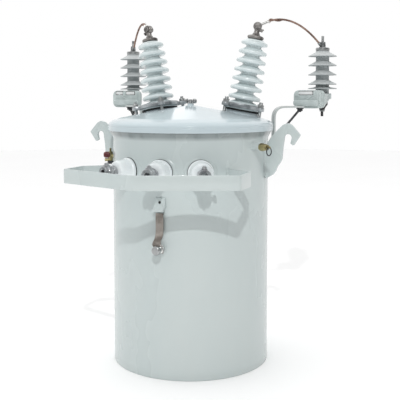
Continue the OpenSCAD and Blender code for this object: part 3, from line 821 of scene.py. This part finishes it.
def folded_tail():
    """The lead's end is passed through the lug and bound back along the lead in a long loop."""
    flat = Vector((-third.y, third.x, 0)).normalized()
    path = []
    for k in range(33):
        u = k / 32
        here = lead_point(LUG_END + (TAIL_END - LUG_END) * u)
        swell = math.sin(math.pi * min(1, 0.08 + u)) ** 0.6
        side = math.cos(1.2 * math.pi * u)
        path.append(here + Vector((0, 0,
            1)) * (2.2 + 3.4 * swell) * side + flat * 3.6 * (1 - side * side))
    return sweep(path, 2.3, 10)


pair("jumper_strands", lambda: merged(stranded(LUG_END - 0.02, 0.96), folded_tail()),
     browned_copper,
     "copper", "jumper_lead", crease=80)
print("lead runs", round(sum((lead_point(k / 40) - lead_point((k + 1) / 40)).length
                             for k in range(40))), "mm")

# %% [markdown]
# A bright tinned bar reaches from the eye's bolt to the lead: a flat tongue with round ends, and a
# ring at its far end that the lead is looped through.

# %% Tinned lug
def crimp_lug():
    along = (lead_point(LUG_END) - lead_from).normalized()
    side = Vector((-third.y, third.x, 0)).normalized()
    turn = Matrix.Translation(lead_from) @ Matrix(
        (along, side, along.cross(side))).transposed().to_4x4()
    reach = (lead_point(LUG_END) - lead_from).length
    tongue = slab(rounded([(4, -9, 4), (4, 9, 4), (reach - 10, 9, 3), (reach - 2, 5, 3),
                           (reach - 2, -5, 3),
                           (reach - 10, -9, 3)]), -2.6, 2.6, 0.9)
    ridge = slab(rounded([(8, -3, 2), (8, 3, 2), (reach - 8, 3, 2), (reach - 8, -3, 2)]), 2, 4.6,
                 0.9)
    rows = []
    for k in range(28):
        a = 2 * math.pi * k / 28
        out = Vector((math.cos(a), 0, math.sin(a)))
        rows.append([Vector((reach, 0, 0)) + out * 5.2 + 1.9 * (math.cos(b) * out + Vector((0,
            math.sin(b), 0)))
                     for b in (2 * math.pi * m / 10 for m in range(10))])
    return placed(merged(tongue, ridge, skin_rows(rows, ring=True)), turn)


pair("hv_crimp_lug", crimp_lug, bright_tin, "tinned_metal")

# %% [markdown]
# # Surge arresters
# An arrester is a stack of ceramic discs inside silicone rubber sheds. The sheds are thin, flat
# below and coned above, and the body between them is darker, so the sheds and the core are turned
# as one profile. Its foot has a wide thin disc, and a metal cap closes the top.

# %% Arrester body, cap and stud
SHED_R, CORE_R, SHED_FIRST, SHED_STEP, BODY_TOP = 45.5, 21, 29, 29.6, 135.8


def arrester_body():
    corners = [(0, 0, 0), (CORE_R, 0, 1), (CORE_R, 14, 1), (SHED_R, 14.2, 0.6), (SHED_R, 16.8, 0.8),
               (CORE_R + 6, 19.5, 3), (CORE_R, 22, 2)]
    for i in range(4):
        z = SHED_FIRST + i * SHED_STEP
        corners += [(CORE_R, z - 1, 1.5), (SHED_R - 1.5, z - 0.8, 0.8), (SHED_R, z + 0.6, 0.8),
                    (SHED_R - 1.5, z + 2.0, 1), (CORE_R + 1.5, z + 13, 3), (CORE_R, z + 15, 1)]
    corners[-1] = (CORE_R, BODY_TOP - 0.5, 1)
    points = rounded(corners + [(0, BODY_TOP, 0)], closed=False, steps=3)
    return placed(lathe([(p.x, p.y) for p in points], 80), AT_ARRESTER)


def arrester_cap():
    disc = rounded([(0, 0, 0), (21.5, 0, 0.5), (22, 2, 0), (22, 8, 1.5), (19, 10, 1), (0, 10, 0)],
                   closed=False)
    stack = [lathe([(p.x, p.y) for p in disc], 64), washer(11, 4.5, 10, 12), nut(9.6, 12, 19),
             washer(9.5, 4.5, 19, 20.5), nut(9.0, 20.5, 27.5), thread(4.5, 10, 46.8)]
    end = [lead_point(0.93), lead_point(0.945), lead_point(0.965), lead_to + Vector((0, 0, 1))]
    barrel = sweep(end, lambda i: (4.4, 5.0, 5.0, 4.8)[i], 16)
    return merged(barrel, *[placed(bm, AT_ARRESTER @ at(0, 0, BODY_TOP)) for bm in stack])


pair("arrester_sheds", arrester_body, shed_rubber, "shed_polymer", "arrester", crease=50)
pair("arrester_top", arrester_cap, plated_steel, "dull_metal", "arrester_cap")

# %% [markdown]
# # Arrester brackets
# The bracket insulates the arrester from the arm. It is a moulding with three rounded ribs, a lip
# that lies on the arm, a webbed neck and a round end under the arrester. Its face has a slanting
# stiffener and shallow pale panels. Rounded slabs side by side give the ribs their grooves.

# %% Bracket
ARM_TURN, ARM_END_R = math.radians(33), tank_r + 124
FACE, FOOT, BRACKET_W, RIB_T, RIB_STEP = 112, 38, 92, 7, 13.5
arm_tip = (ARM_END_R + 12) * Vector((math.cos(ARM_TURN), math.sin(ARM_TURN)))
bracket_turn = math.atan2(arrester_foot.y - arm_tip.y, arrester_foot.x - arm_tip.x)
AT_BRACKET = AT_ARRESTER @ Matrix.Rotation(bracket_turn, 4, "Z")
WINDOWS = {"right": ((-20, 26),), "left": ((-34, -12), (0, 28))}
SLOTS = {"right": (26, 38), "left": (-11, -1)}


def upright_rib(x, width, low, high, thick, corner, soft=1.6):
    half = width / 2
    outline = rounded([(-half, low, corner), (half, low, corner), (half, high, corner),
                       (-half, high, corner)], steps=8)
    return placed(slab(outline, x, x + thick, soft), ACROSS)


def bracket(side):
    neck = RIB_T + 2 * RIB_STEP - FACE
    parts = [upright_rib(i * RIB_STEP - FACE, BRACKET_W, -FOOT - 8, 10, RIB_T,
                         18) for i in range(3)]
    parts += [upright_rib(1 - FACE, BRACKET_W - 18, -FOOT + 1, 2, 2 * RIB_STEP, 10, 0.5),
              upright_rib(-FACE - 15, BRACKET_W - 10, -FOOT, -20, 17, 9, 2.5),
              upright_rib(-FACE - 3, BRACKET_W - 16, -22, 5, 6, 7, 2.0)]
    parts.append(slab(rounded([(neck - 2, -32, 2), (neck - 2, 32, 2), (-6, 27, 12), (-6, -27, 12)]),
                      -16, 0, 1.2))
    parts.append(lathe([(0, -18), (27.5, -18), (29, -16.5), (29, -1.5), (27.5, 0), (0, 0)], 64))
    for y in (-25, 25):
        web = rounded([(neck - 2, -FOOT - 7, 3), (-48, -FOOT - 6, 6), (-6, -19, 5), (-6, -8, 1),
                       (neck - 2, -8, 1)])
        parts.append(placed(slab(web, -3, 3, 1), at(0, y, 0) @ UPRIGHT))
    low, high = SLOTS[side]
    stiffener = [Vector((-FACE - 1.5, y, z)) for y, z in ((10, -24), (-2, -18), (-14, -11), (-25,
                                                                                             -4))]
    parts += [sweep(stiffener, 2.8, 10),
              placed(slab(rounded([(low, -9, 2), (high, -9, 2), (high, 6, 2), (low, 6, 2)]),
                          -FACE - 5.5,
                          -FACE, 0.8), ACROSS)]
    return placed(merged(*parts), AT_BRACKET)


def panels(side, grow, stand):
    parts = []
    for low, high in WINDOWS[side]:
        outline = rounded([(low - grow, -3.5 - grow, 2), (high + grow, -3.5 - grow, 2),
                           (high + grow, 6 + grow, 2), (low - grow, 6 + grow, 2)])
        parts.append(placed(slab(outline, -FACE - stand, -FACE, 0.5), ACROSS))
    return placed(merged(*parts), AT_BRACKET)


for side, flip in (("left", MIRROR), ("right", Matrix.Identity(4))):
    piece(f"bracket_{side}", placed(bracket(side), flip), bracket_moulding, "holder_polymer",
          f"arrester_holder_{side}")
    piece(f"bracket_panels_{side}", placed(panels(side, 0, 4.6), flip), pale_panel,
          "holder_polymer")
    # Painted shade: a black copy of the panels, a little larger and set back, darkens the gap round
    # each panel.
    piece(f"bracket_panel_shade_{side}", placed(panels(side, 1.4, 3.6), flip), black_moulding_and_painted_shade,
          "holder_polymer")
print("bracket points", round(math.degrees(bracket_turn), 1), "degrees back from the side")

# %% [markdown]
# Under the arrester hangs the disconnector, a black plug that blows the ground lead off a failed
# arrester. It ends in a nut and a stud.

# %% Disconnector
def disconnector():
    body = rounded([(0, 0, 0), (18, 0, 1), (18, -18, 3), (13, -24, 3), (9.5, -30, 2), (9, -33.5, 1),
                    (0, -34, 0)], closed=False)
    shape = [lathe([(p.x, p.y) for p in body], 56), thread(4.5, -54.8, -33)]
    return placed(merged(*shape), AT_ARRESTER @ at(0, 0, -18))


def disconnector_nut():
    return placed(merged(nut(8.5, -39.5, -34), washer(9.5, 4.5, -34.6, -33.4)),
                  AT_ARRESTER @ at(0, 0, -18))


pair("ground_disconnector", disconnector, black_moulding_and_painted_shade, "black_polymer", "arrester_disconnector")
pair("disconnector_nut", disconnector_nut, plated_steel, "plated_steel")

# %% [markdown]
# # Arms
# Each bracket is carried by a flat bar welded to the tank wall, bent out past the cover's rim and
# over. A ribbon of even thickness along the bent path makes the bar. A dark rod braces it, and a
# bolt at its end holds the bracket.

# %% Arm, brace and bolt
ARM_W, ARM_T, RISE_R, BEND = 25, 6, tank_r + 29, 30
arm_top = box_mm("arrester_arm_right")[1].z
ARM_FOOT = wall_h - 84
AT_ARM = Matrix.Rotation(ARM_TURN, 4, "Z")


def arm():
    mid = arm_top - ARM_T / 2
    wall_x = tank_r + ARM_T / 2 + 0.2
    path = rounded([(wall_x, ARM_FOOT - 34, 0), (wall_x, ARM_FOOT, 12), (RISE_R, ARM_FOOT + 46, 16),
                    (RISE_R, mid, BEND * 1.15), (ARM_END_R, mid, 0)], closed=False, steps=12)
    bar = placed(slab(ribbon(path, ARM_T), -ARM_W / 2, ARM_W / 2, 1.0), UPRIGHT)
    beads = [weld([Vector((tank_r + 1, y, ARM_FOOT - 34)), Vector((tank_r + 1, y, ARM_FOOT - 6))],
                  2.2)
             for y in (-ARM_W / 2, ARM_W / 2)]
    return placed(merged(bar, *beads), AT_ARM)


def brace():
    low = Vector((RISE_R + 4, 0, arm_top - 101))
    high = Vector((ARM_END_R - 8, 0, arm_top - ARM_T - 2))
    ends = [placed(drum(6.5, -2, 2, 0.8, 28), at(*p) @ turned(t, "Y"))
            for p, t in ((low, 90), (high, 0))]
    bolt = [placed(bm, at(ARM_END_R - 10, 0, arm_top - ARM_T)) for bm in (
        washer(11, 4, -3.6, -0.2), nut(9, -10, -3.6), thread(4.4, -13, -9))]
    return placed(merged(sweep([low, low.lerp(high, 0.5), high], 3.5, 16), *ends, *bolt), AT_ARM)


pair("bracket_arm", arm, arm_enamel, "arm_paint", "arrester_arm")
pair("arm_brace", brace, dark_rod, "dark_steel", "arrester_brace")

# %% [markdown]
# # Lifting lugs
# A crane's sling drops into the slot of each hook. The lug is thick plate, flame cut to shape and
# welded on edge to the wall, with a bead down each side. Its outline is the one in the frame, with
# every corner eased.

# %% Lifting lug
LUG_T, SLOT_MID, SLOT_R = 10, 68.3, 10.4


def lifting_lug():
    arch = [(SLOT_MID + SLOT_R * math.cos(a), 2.5 + SLOT_R * math.sin(a), 0)
            for a in (math.pi * (1 - k / 12) for k in range(13))]
    corners = [(0.2, -115, 0), (6, -115, 3), (17, -109, 8), (25.5, -104, 8), (33, -92.5, 8),
               (37.5, -81, 8), (48, -66, 10), (51.5, -57, 8), (54, -26, 10), *arch,
               (75, -13.7, 3), (82.3, -19.4, 3), (86, -17.5, 3), (104.4, 10.4, 4), (92.5, 24, 12),
               (80.5, 38, 14), (68.6, 44.7, 12), (53.5, 40, 14), (36, 23, 16), (18.6, 4, 14),
               (9.8, -9.2, 10), (2.4, -24, 4), (0.2, -24, 0)]
    plate = placed(slab(rounded(corners), -LUG_T / 2, LUG_T / 2, 1.1),
                   at(tank_r, 0, wall_h) @ UPRIGHT)
    beads = [weld([Vector((tank_r + 0.8, y, wall_h - 114)),
                   Vector((tank_r + 0.8, y, wall_h - 26))], 2.8)
             for y in (-LUG_T / 2 - 0.6, LUG_T / 2 + 0.6)]
    return merged(plate, *beads)


pair("lug_hook", lifting_lug, tank_enamel, "tank_paint", "lifting_lug")

# %% [markdown]
# # Low voltage side
# Three short bushings come through the wall. The wall is pressed flat round each one, so a
# shallow boss shows at its sides. The porcelain is almost white, with a black gasket ring behind
# its foot that also paints in the shade of the gap there.

# %% Low voltage bushings
LV_STEP = 27.5
LV_FACING = {"left": -90 - LV_STEP, "middle": -90, "right": -90 + LV_STEP}


def at_lv(place):
    return turned(LV_FACING[place]) @ at(0, 0, lv_z) @ ALONG_X


for place in LV_FACING:
    shape = rounded([(0, tank_r - 2, 0), (35, tank_r - 2, 0), (36, tank_r + 3.5, 0),
                     (36, tank_r + 9, 1.5),
                     (33.5, tank_r + 12, 3), (32.5, tank_r + 18, 3), (30.5, tank_r + 40, 6),
                     (27.5, tank_r + 48, 4), (20, tank_r + 50, 2), (0, tank_r + 50, 0)],
                     closed=False)
    piece(f"lv_porcelain_{place}", placed(lathe([(p.x, p.y) for p in shape], 80), at_lv(place)),
          white_glaze, "porcelain", f"lv_bushing_{place}", crease=50)
    # Painted shade: the black gasket ring behind the porcelain's foot also darkens the gap there.
    ring = lathe([(30, tank_r + 0.5), (36.4, tank_r + 0.5), (36.8, tank_r + 1.8),
                  (36.4, tank_r + 3),
                  (30, tank_r + 3)], 80, ring=True)
    piece(f"lv_gasket_gap_shade_{place}", placed(ring, at_lv(place)), gasket_rubber, "gasket_rubber")
    boss = rounded([(30, tank_r - 6, 0), (50, tank_r - 6, 0), (42, tank_r - 0.6, 6),
                    (38, tank_r + 0.6, 4),
                    (30, tank_r + 0.6, 0)])
    piece(f"lv_boss_{place}", placed(lathe([(p.x, p.y) for p in boss], 96, ring=True),
                                     at_lv(place)),
          tank_enamel, "tank_paint")

# %% [markdown]
# The terminals are tinned castings: a locknut against the porcelain, a grooved barrel with the
# conductor's bore, a short clamp block below it with a set screw, and a bolt through its side.

# %% Low voltage terminals
LV_BODY, LV_FRONT, LV_DROP, BORE_R, BORE_LEN, BARREL_R = 50.2, 40, 24, 9, 36, 17.5


def lv_terminal(place):
    barrel = rounded([(0, 0.5, 0), (13, 0.5, 1), (13, 11, 1), (BARREL_R - 2, 13, 1),
                      (BARREL_R - 2, LV_FRONT - 15, 0.6), (BARREL_R - 3.4, LV_FRONT - 13.5, 0.6),
                      (BARREL_R - 3.4, LV_FRONT - 11, 0.6), (BARREL_R - 1, LV_FRONT - 9.5, 0.6),
                      (BARREL_R, LV_FRONT - 8, 0.6), (BARREL_R, LV_FRONT, 1.6),
                      (BORE_R + 1, LV_FRONT, 0.6), (BORE_R, LV_FRONT - 1, 0),
                      (BORE_R, LV_FRONT - BORE_LEN, 0), (0, LV_FRONT - BORE_LEN, 0)], closed=False)
    block = rounded([(-BARREL_R, -3, 2), (-BARREL_R, -12, 5), (-13, -LV_DROP, 4), (13, -LV_DROP, 4),
                     (BARREL_R, -12, 5), (BARREL_R, -3, 2), (BORE_R + 2, -3, 0), (8, -9, 3),
                     (-8, -9, 3), (-BORE_R - 2, -3, 0)])
    mid = LV_FRONT - 13
    parts = [placed(lathe([(p.x, p.y) for p in barrel], 56), ALONG_X),
             placed(nut(17.4, 0.3, 10), ALONG_X),
             placed(slab(block, LV_FRONT - 26, LV_FRONT - 2, 1.0), ACROSS),
             placed(thread(4.5, -LV_DROP - 12, -LV_DROP + 2), at(mid, 0, 0)),
             placed(washer(7, 4, -LV_DROP - 1.5, -LV_DROP + 0.5), at(mid, 0, 0))]
    for bm in (thread(5, BARREL_R - 3, BARREL_R + 11), washer(9.5, 5, BARREL_R, BARREL_R + 2),
               nut(8.6, BARREL_R + 8, BARREL_R + 16)):
        parts.append(placed(bm, at(mid, 0, -7) @ turned(-90, "X")))
    ears = rounded([(-7, 11, 3), (-7, 21, 4), (7, 21, 4), (7, 11, 3)])
    parts.append(placed(slab(ears, mid - 9, mid + 9, 1.2), ACROSS))
    parts.append(placed(merged(nut(6.6, 20.5, 25), thread(3.5, 20, 27)), at(mid, 0, 0)))
    return placed(merged(*parts), turned(LV_FACING[place]) @ at(tank_r + LV_BODY, 0, lv_z))


for place in LV_FACING:
    piece(f"lv_clamp_{place}", lv_terminal(place), tinned_casting, "tinned_metal",
          f"lv_terminal_{place}")

# %% [markdown]
# A bent strap stands in front of the terminals so that nothing knocks them in transport. It is
# one flat bar, folded at the middle and at both sides, and welded to the wall.

# %% Strap guard
GUARD_T = 5


def strap_guard():
    front = tank_r + 179
    close = math.radians(47.5)
    half = [(tank_r + 21.5, -tank_r - 81, 9), (tank_r + 19, 19 - tank_r, 14),
            ((tank_r + 0.5) * math.sin(close), -(tank_r + 0.5) * math.cos(close), 0)]
    corners = [(-x, y, r) for x, y, r in half[::-1]] + [(0, -front, 16)] + half
    path = rounded(corners, closed=False, steps=8)
    bar = slab(ribbon(path, GUARD_T), guard_low.z, guard_high.z, 1.0)
    beads = []
    for x in (-1, 1):
        foot = Vector((x * (tank_r + 1.2) * math.sin(close), -(tank_r + 1.2) * math.cos(close), 0))
        slip = Vector((-foot.y, foot.x, 0)).normalized() * 3.4
        for step in (-1, 1):
            beads.append(weld([foot + slip * step + Vector((0, 0, guard_low.z + 1)),
                               foot + slip * step + Vector((0, 0, guard_high.z - 1))], 2.4))
    return merged(bar, *beads)


piece("guard_strap", strap_guard(), tank_enamel, "tank_paint", "lv_guard")

# %% [markdown]
# # Ground fittings
# A flat braided strap bonds the middle terminal's tab to the tank. It hangs from a bent tab with
# one hole and twists on its way down to a round-headed bolt. A band swept with a turning side
# gives the twist.

# %% Tab and strap
ground_z = box_mm("ground_bolt")[0].z + 12.5
strap_top = ground_z + 114


def ground_tab():
    low, high = box_mm("ground_tab")
    outline = rounded([(tank_r - 1, high.z, 0), (tank_r + 4, high.z, 2),
                       (tank_r + 8, high.z - 18, 4),
                       (tank_r + 22, low.z + 6, 2), (tank_r + 22, low.z + 1, 1),
                       (tank_r + 18, low.z + 1, 1),
                       (tank_r - 1, low.z + 9, 0)])
    tab = placed(slab(outline, -15, 15, 1), UPRIGHT)
    hole_rim = placed(washer(5.6, 4, 0, 1.2, 0.3, 32), at(tank_r + 6.0, 0,
                                                          high.z - 12) @ turned(78, "Y"))
    return placed(merged(tab, hole_rim), turned(-90))


# Painted shade: a thin black disc in the tab's hole stands for the shade inside it.
def tab_hole():
    high = box_mm("ground_tab")[1]
    return placed(placed(drum(4.1, 0, 0.9, 0.2, 32), at(tank_r + 6.0, 0, high.z - 12) @ turned(78,
        "Y")),
                  turned(-90))


def band(stations, thick):
    """A flat strap through (place, side) stations; side is half its width, as a vector."""
    rows = []
    for i, (here, side) in enumerate(stations):
        along = stations[min(i + 1, len(stations) - 1)][0] - stations[max(i - 1, 0)][0]
        face = along.cross(side).normalized() * thick / 2
        edge = side.normalized() * thick / 2
        rows.append([here + side - edge * 0.5 + face, here + side, here + side - edge * 0.5 - face,
                     here - side + edge * 0.5 - face, here - side, here - side + edge * 0.5 + face])
    bm = skin_rows(rows)
    bm.verts.ensure_lookup_table()
    bm.faces.new(bm.verts[:6])
    bm.faces.new(bm.verts[-6:])
    return bm


def ground_strap():
    drop = [(0, 8, strap_top - 15, 0, 11.5), (0, 8, ground_z + 60, 0, 11.5),
            (0, 8.5, ground_z + 48, 8, 11),
            (-0.5, 10, ground_z + 38, 24, 10.5), (-2, 13, ground_z + 30, 44, 11),
            (-5, 16, ground_z + 22, 52, 12), (-6, 16, ground_z + 14, 36, 12.5),
            (-4, 11, ground_z + 6, 12, 12), (-1, 7, ground_z, 0, 11.5),
            (0, 6.6, ground_z - 11, 0, 11)]
    stations = []
    for k in range(4 * (len(drop) - 1) + 1):
        i, t = min(k // 4, len(drop) - 2), k / 4 - min(k // 4, len(drop) - 2)
        t = t * t * (3 - 2 * t) if i > 1 else t
        x, out, z, turn, half = [a + (b - a) * t for a, b in zip(drop[i], drop[i + 1])]
        stations.append((Vector((x, -tank_r - out, z)),
                         half * Vector((math.cos(math.radians(turn)), math.sin(math.radians(turn)),
                                        0))))
    return band(stations, 2.6)


piece("ground_tab_plate", ground_tab(), tank_enamel, "tank_paint", "ground_tab")
piece("ground_tab_hole_shade", tab_hole(), gasket_rubber, "gasket_rubber")
piece("ground_braid", ground_strap(), strap_metal, "strap_steel", "ground_strap", crease=60)

# %% [markdown]
# The ground bolt has a round head with a turned edge, a sleeve, a bright washer against the strap,
# and a pad welded to the wall.

# %% Ground bolt
def ground_bolt():
    head = rounded([(0, 25.5, 0), (11, 25.5, 0.5), (12.5, 27, 1), (12.5, 35, 2.5), (9, 38, 2),
                    (0, 38, 0)],
                   closed=False)
    parts = [lathe([(p.x, p.y) for p in head], 56), drum(8.6, 8, 26, 0.6), drum(11, -2, 4.6, 0.8),
             drum(5.8, 2, 20, 0.3)]
    return placed(merged(*parts), turned(-90) @ at(tank_r, 0, ground_z) @ ALONG_X)


def bolt_washer():
    outline = rounded([(-10, -10, 6), (10, -10, 6), (13, 9, 5), (6, 14, 5), (-7, 11, 5)])
    return placed(slab(outline, tank_r + 8.6, tank_r + 11.4, 0.6),
                  turned(-90) @ at(0, 0, ground_z) @ ACROSS)


piece("ground_bolt_head", ground_bolt(), plated_steel, "plated_steel", "ground_bolt")
piece("ground_bolt_lug", bolt_washer(), bright_tin, "tinned_metal")

# %% [markdown]
# # Small fittings
# The pressure relief valve is a brass body on a painted stub, with a pull ring. The bond connector
# on the other side is a small brass casting with a pin, a clamp nut and a red-brown cap.

# %% Relief valve and its ring
RELIEF_TURN = -20
relief_z = middle("relief_valve").z
eye_x = tank_r + 55


def relief_valve():
    parts = [placed(bm, at(0, 0, relief_z) @ ALONG_X) for bm in (
        nut(11, tank_r + 25, tank_r + 38), lathe([(0, tank_r + 37), (9.4, tank_r + 37), (9.4,
            tank_r + 44),
                                                  (8, tank_r + 46), (8, tank_r + 50),
                                                  (0, tank_r + 50)], 40),
        drum(3.4, tank_r + 49, tank_r + 58.5, 0.8, 24))]
    return placed(merged(*parts), turned(RELIEF_TURN))


def relief_stub():
    shape = rounded([(0, tank_r - 3, 0), (13, tank_r - 3, 0), (11, tank_r + 2, 3),
                     (10, tank_r + 6, 3),
                     (10, tank_r + 25, 1), (0, tank_r + 25.2, 0)], closed=False)
    return placed(lathe([(p.x, p.y) for p in shape], 48),
                  turned(RELIEF_TURN) @ at(0, 0, relief_z) @ ALONG_X)


def pull_ring(ring_r=11, hang=11.4, wire_r=1.6, turns=48, sides=10):
    ring = [Vector((eye_x, ring_r * math.sin(a), relief_z - hang + ring_r * math.cos(a)))
            for a in (2 * math.pi * k / turns for k in range(turns))]
    rows = []
    for here in ring:
        out = (here - Vector((eye_x, 0, relief_z - hang))).normalized()
        rows.append([here + wire_r * (math.cos(a) * out + Vector((math.sin(a), 0, 0)))
                     for a in (2 * math.pi * k / sides for k in range(sides))])
    return placed(skin_rows(rows, ring=True), turned(RELIEF_TURN))


piece("relief_body", relief_valve(), aged_brass, "valve_brass", "relief_valve")
piece("relief_stub", relief_stub(), tank_enamel, "tank_paint")
piece("relief_pull_ring", pull_ring(), dark_rod, "dark_steel", "relief_ring", crease=80)

# %% [markdown]
# The bond connector is a small brass body screwed into the wall on the left, with a clamp nut
# below and a red cap over its stub. It is built from drums, since the real one is turned bar.

# %% Bond connector
CONNECTOR_TURN, CONNECTOR_Z = 200, 604
AT_CONNECTOR = turned(CONNECTOR_TURN) @ at(tank_r, 0, CONNECTOR_Z)


def connector_body():
    parts = [placed(drum(6, -1, 8, 0.5), ALONG_X), placed(drum(7, -15, 13, 1.5), at(10, 0, 0)),
             placed(drum(3, 12, 23, 0.8, 24), at(10, 0, 0)),
             placed(drum(4.6, 0, 17, 0.8, 32), at(10, 0, -12) @ ALONG_X)]
    return placed(merged(*parts), AT_CONNECTOR)


def connector_nut():
    return placed(nut(9, -24, -15), AT_CONNECTOR @ at(10, 0, 0))


def connector_cap():
    shape = rounded([(0, 2, 0), (8, 2, 0), (9.4, 5, 1), (9.4, 17, 3), (6.5, 22, 2.5), (0, 22, 0)],
                    closed=False)
    return placed(lathe([(p.x, p.y) for p in shape], 40), AT_CONNECTOR @ at(8, 0, 3) @ ALONG_X)


piece("connector_body", connector_body(), aged_brass, "valve_brass", "tank_connector")
piece("connector_nut", connector_nut(), dark_rod, "dark_steel")
piece("connector_cap", connector_cap(), red_cap, "copper")

# %% [markdown]
# # Pole hangers
# Two channels are welded to the back of the tank, and a through bolt in each holds it to the pole.
# Each channel is a back plate with a real hole and two flanges, with a weld down every flange.

# %% Hangers
HANGER_W, HANGER_H, HANGER_T, HANGER_HOLE = 92, 74, 6, 9


def hanger(node):
    low, high = box_mm(node)
    mid_z, back = (low.z + high.z) / 2, high.y
    half_w, half_h = HANGER_W / 2, HANGER_H / 2

    def reach(angle):
        c, s = abs(math.cos(angle)), abs(math.sin(angle))
        square = min(half_w / max(c, 1e-6), half_h / max(s, 1e-6))
        return min(square, (half_w ** 2 + half_h ** 2) ** 0.5 - 2)

    plate = placed(pierced(reach, HANGER_HOLE, -HANGER_T, 0, 0.8, 240),
                   at(0, back, mid_z) @ turned(-90, "X"))
    parts = [plate]
    for x in (-1, 1):
        flange = rounded([(0.5, -half_h, 0), (back - tank_r - 1, -half_h, 0),
                          (back - tank_r - 1, half_h, 0),
                          (0.5, half_h, 0)])
        start = tank_r * math.cos(math.asin(half_w / tank_r)) - tank_r
        flange[0].x = flange[3].x = start
        turn = at(x * (half_w - HANGER_T / 2), tank_r, mid_z) @ turned(90) @ UPRIGHT
        parts.append(placed(slab(flange, -HANGER_T / 2, HANGER_T / 2, 0.6), turn))
        edge = Vector((x * (half_w + 0.6), tank_r + start + 1.2, mid_z))
        parts.append(weld([edge - Vector((0, 0, half_h - 1)), edge + Vector((0, 0, half_h - 1))],
                          2.8))
    return merged(*parts)


for name in ("upper", "lower"):
    piece(f"pole_hanger_{name}", hanger(f"hanger_{name}"), tank_enamel, "tank_paint",
          f"hanger_{name}")

# %% [markdown]
# # Floor and light
# The transformer stands on a plain pale floor in a white studio. The floor is a wide turned disc
# just under the tank, so its edge is far away.

# %% Floor
FLOOR_R, FLOOR_Z = 9000, -0.4


def studio_floor():
    sheet = Finish("studio_floor", Roughness=0.8)
    cloud = sheet.noise(1.5, 2.0)
    sheet.feed(Base_Color=sheet.mix(cloud, (0.96, 0.96, 0.96, 1), (0.98, 0.98, 0.98, 1)))
    bm = lathe([(0, FLOOR_Z), (FLOOR_R, FLOOR_Z)], 64)
    bm.transform(Matrix.Scale(MM, 4))
    mesh = bpy.data.meshes.new("studio_floor")
    bm.to_mesh(mesh)
    bm.free()
    mesh.materials.append(sheet.material)
    made = bpy.data.objects.new("studio_floor", mesh)
    bpy.context.collection.objects.link(made)
    return made


studio_floor()
print("floor radius in millimetres:", FLOOR_R)

# %% [markdown]
# Most of the light comes from all round. A small lamp high in front, a little to the right, gives
# the guard its shadow on the tank and the porcelain its highlights, and a weak card behind lifts
# the far edges. An area lamp is aimed by turning its -Z axis along the way that it shines.

# %% Lamps
def lamp(name, turn, height, distance, size, power):
    """An area lamp aimed at the middle of the tank, turned from the front towards the right."""
    target = Vector((0, 0, 0.55))
    a, e = math.radians(turn), math.radians(height)
    way = Vector((math.sin(a) * math.cos(e), -math.cos(a) * math.cos(e), math.sin(e)))
    light = bpy.data.lights.new(name, "AREA")
    light.shape, light.size, light.energy = "DISK", size, power
    made = bpy.data.objects.new(name, light)
    bpy.context.collection.objects.link(made)
    made.location = target + way * distance
    made.rotation_euler = (-way).to_track_quat("-Z", "Y").to_euler()
    return made


lamp("front_lamp", turn=21, height=37, distance=6.0, size=0.14, power=124)
lamp("back_card", turn=204, height=23, distance=5.0, size=0.7, power=0.8)
print("two lamps")

# %% [markdown]
# The backdrop and ceiling are white and the room behind the camera is darker, which gives the
# bright metals something to reflect. The direction of a ray decides between the two. Seen
# directly, the paper backdrop is plain white from every side.

# %% White studio
BACKDROP, ROOM, CEILING, ROOM_TURN = 1.0, 0.2, 0.46, 42
studio = bpy.data.worlds.new("studio")
bpy.context.scene.world = studio
studio.use_nodes = True
sky = studio.node_tree
direction = sky.nodes.new("ShaderNodeTexCoord")
parts = sky.nodes.new("ShaderNodeSeparateXYZ")
total = sky.nodes.new("ShaderNodeMath")
turn = sky.nodes.new("ShaderNodeMapping")
turn.inputs["Rotation"].default_value = (0, 0, math.radians(-ROOM_TURN))
sky.links.new(direction.outputs["Generated"], turn.inputs["Vector"])
sky.links.new(turn.outputs["Vector"], parts.inputs["Vector"])
for step, (way, low, high, start, end) in enumerate((("Y", -1.0, 0.8, ROOM, BACKDROP),
                                                     ("Z", 0.25, 0.8, 0.0, CEILING))):
    blend = sky.nodes.new("ShaderNodeMapRange")
    blend.interpolation_type = "SMOOTHSTEP"
    for socket, value in (("From Min", low), ("From Max", high), ("To Min", start),
                          ("To Max", end)):
        blend.inputs[socket].default_value = value
    sky.links.new(parts.outputs[way], blend.inputs["Value"])
    sky.links.new(blend.outputs["Result"], total.inputs[step])
seen = sky.nodes.new("ShaderNodeLightPath")
shown = sky.nodes.new("ShaderNodeMath")
shown.operation = "MAXIMUM"
sky.links.new(total.outputs["Value"], shown.inputs[0])
sky.links.new(seen.outputs["Is Camera Ray"], shown.inputs[1])
sky.links.new(shown.outputs["Value"], sky.nodes["Background"].inputs["Strength"])
sky.nodes["Background"].inputs["Color"].default_value = (1, 1, 1, 1)
bpy.context.scene.view_settings.view_transform = "Standard"
print("a white studio")
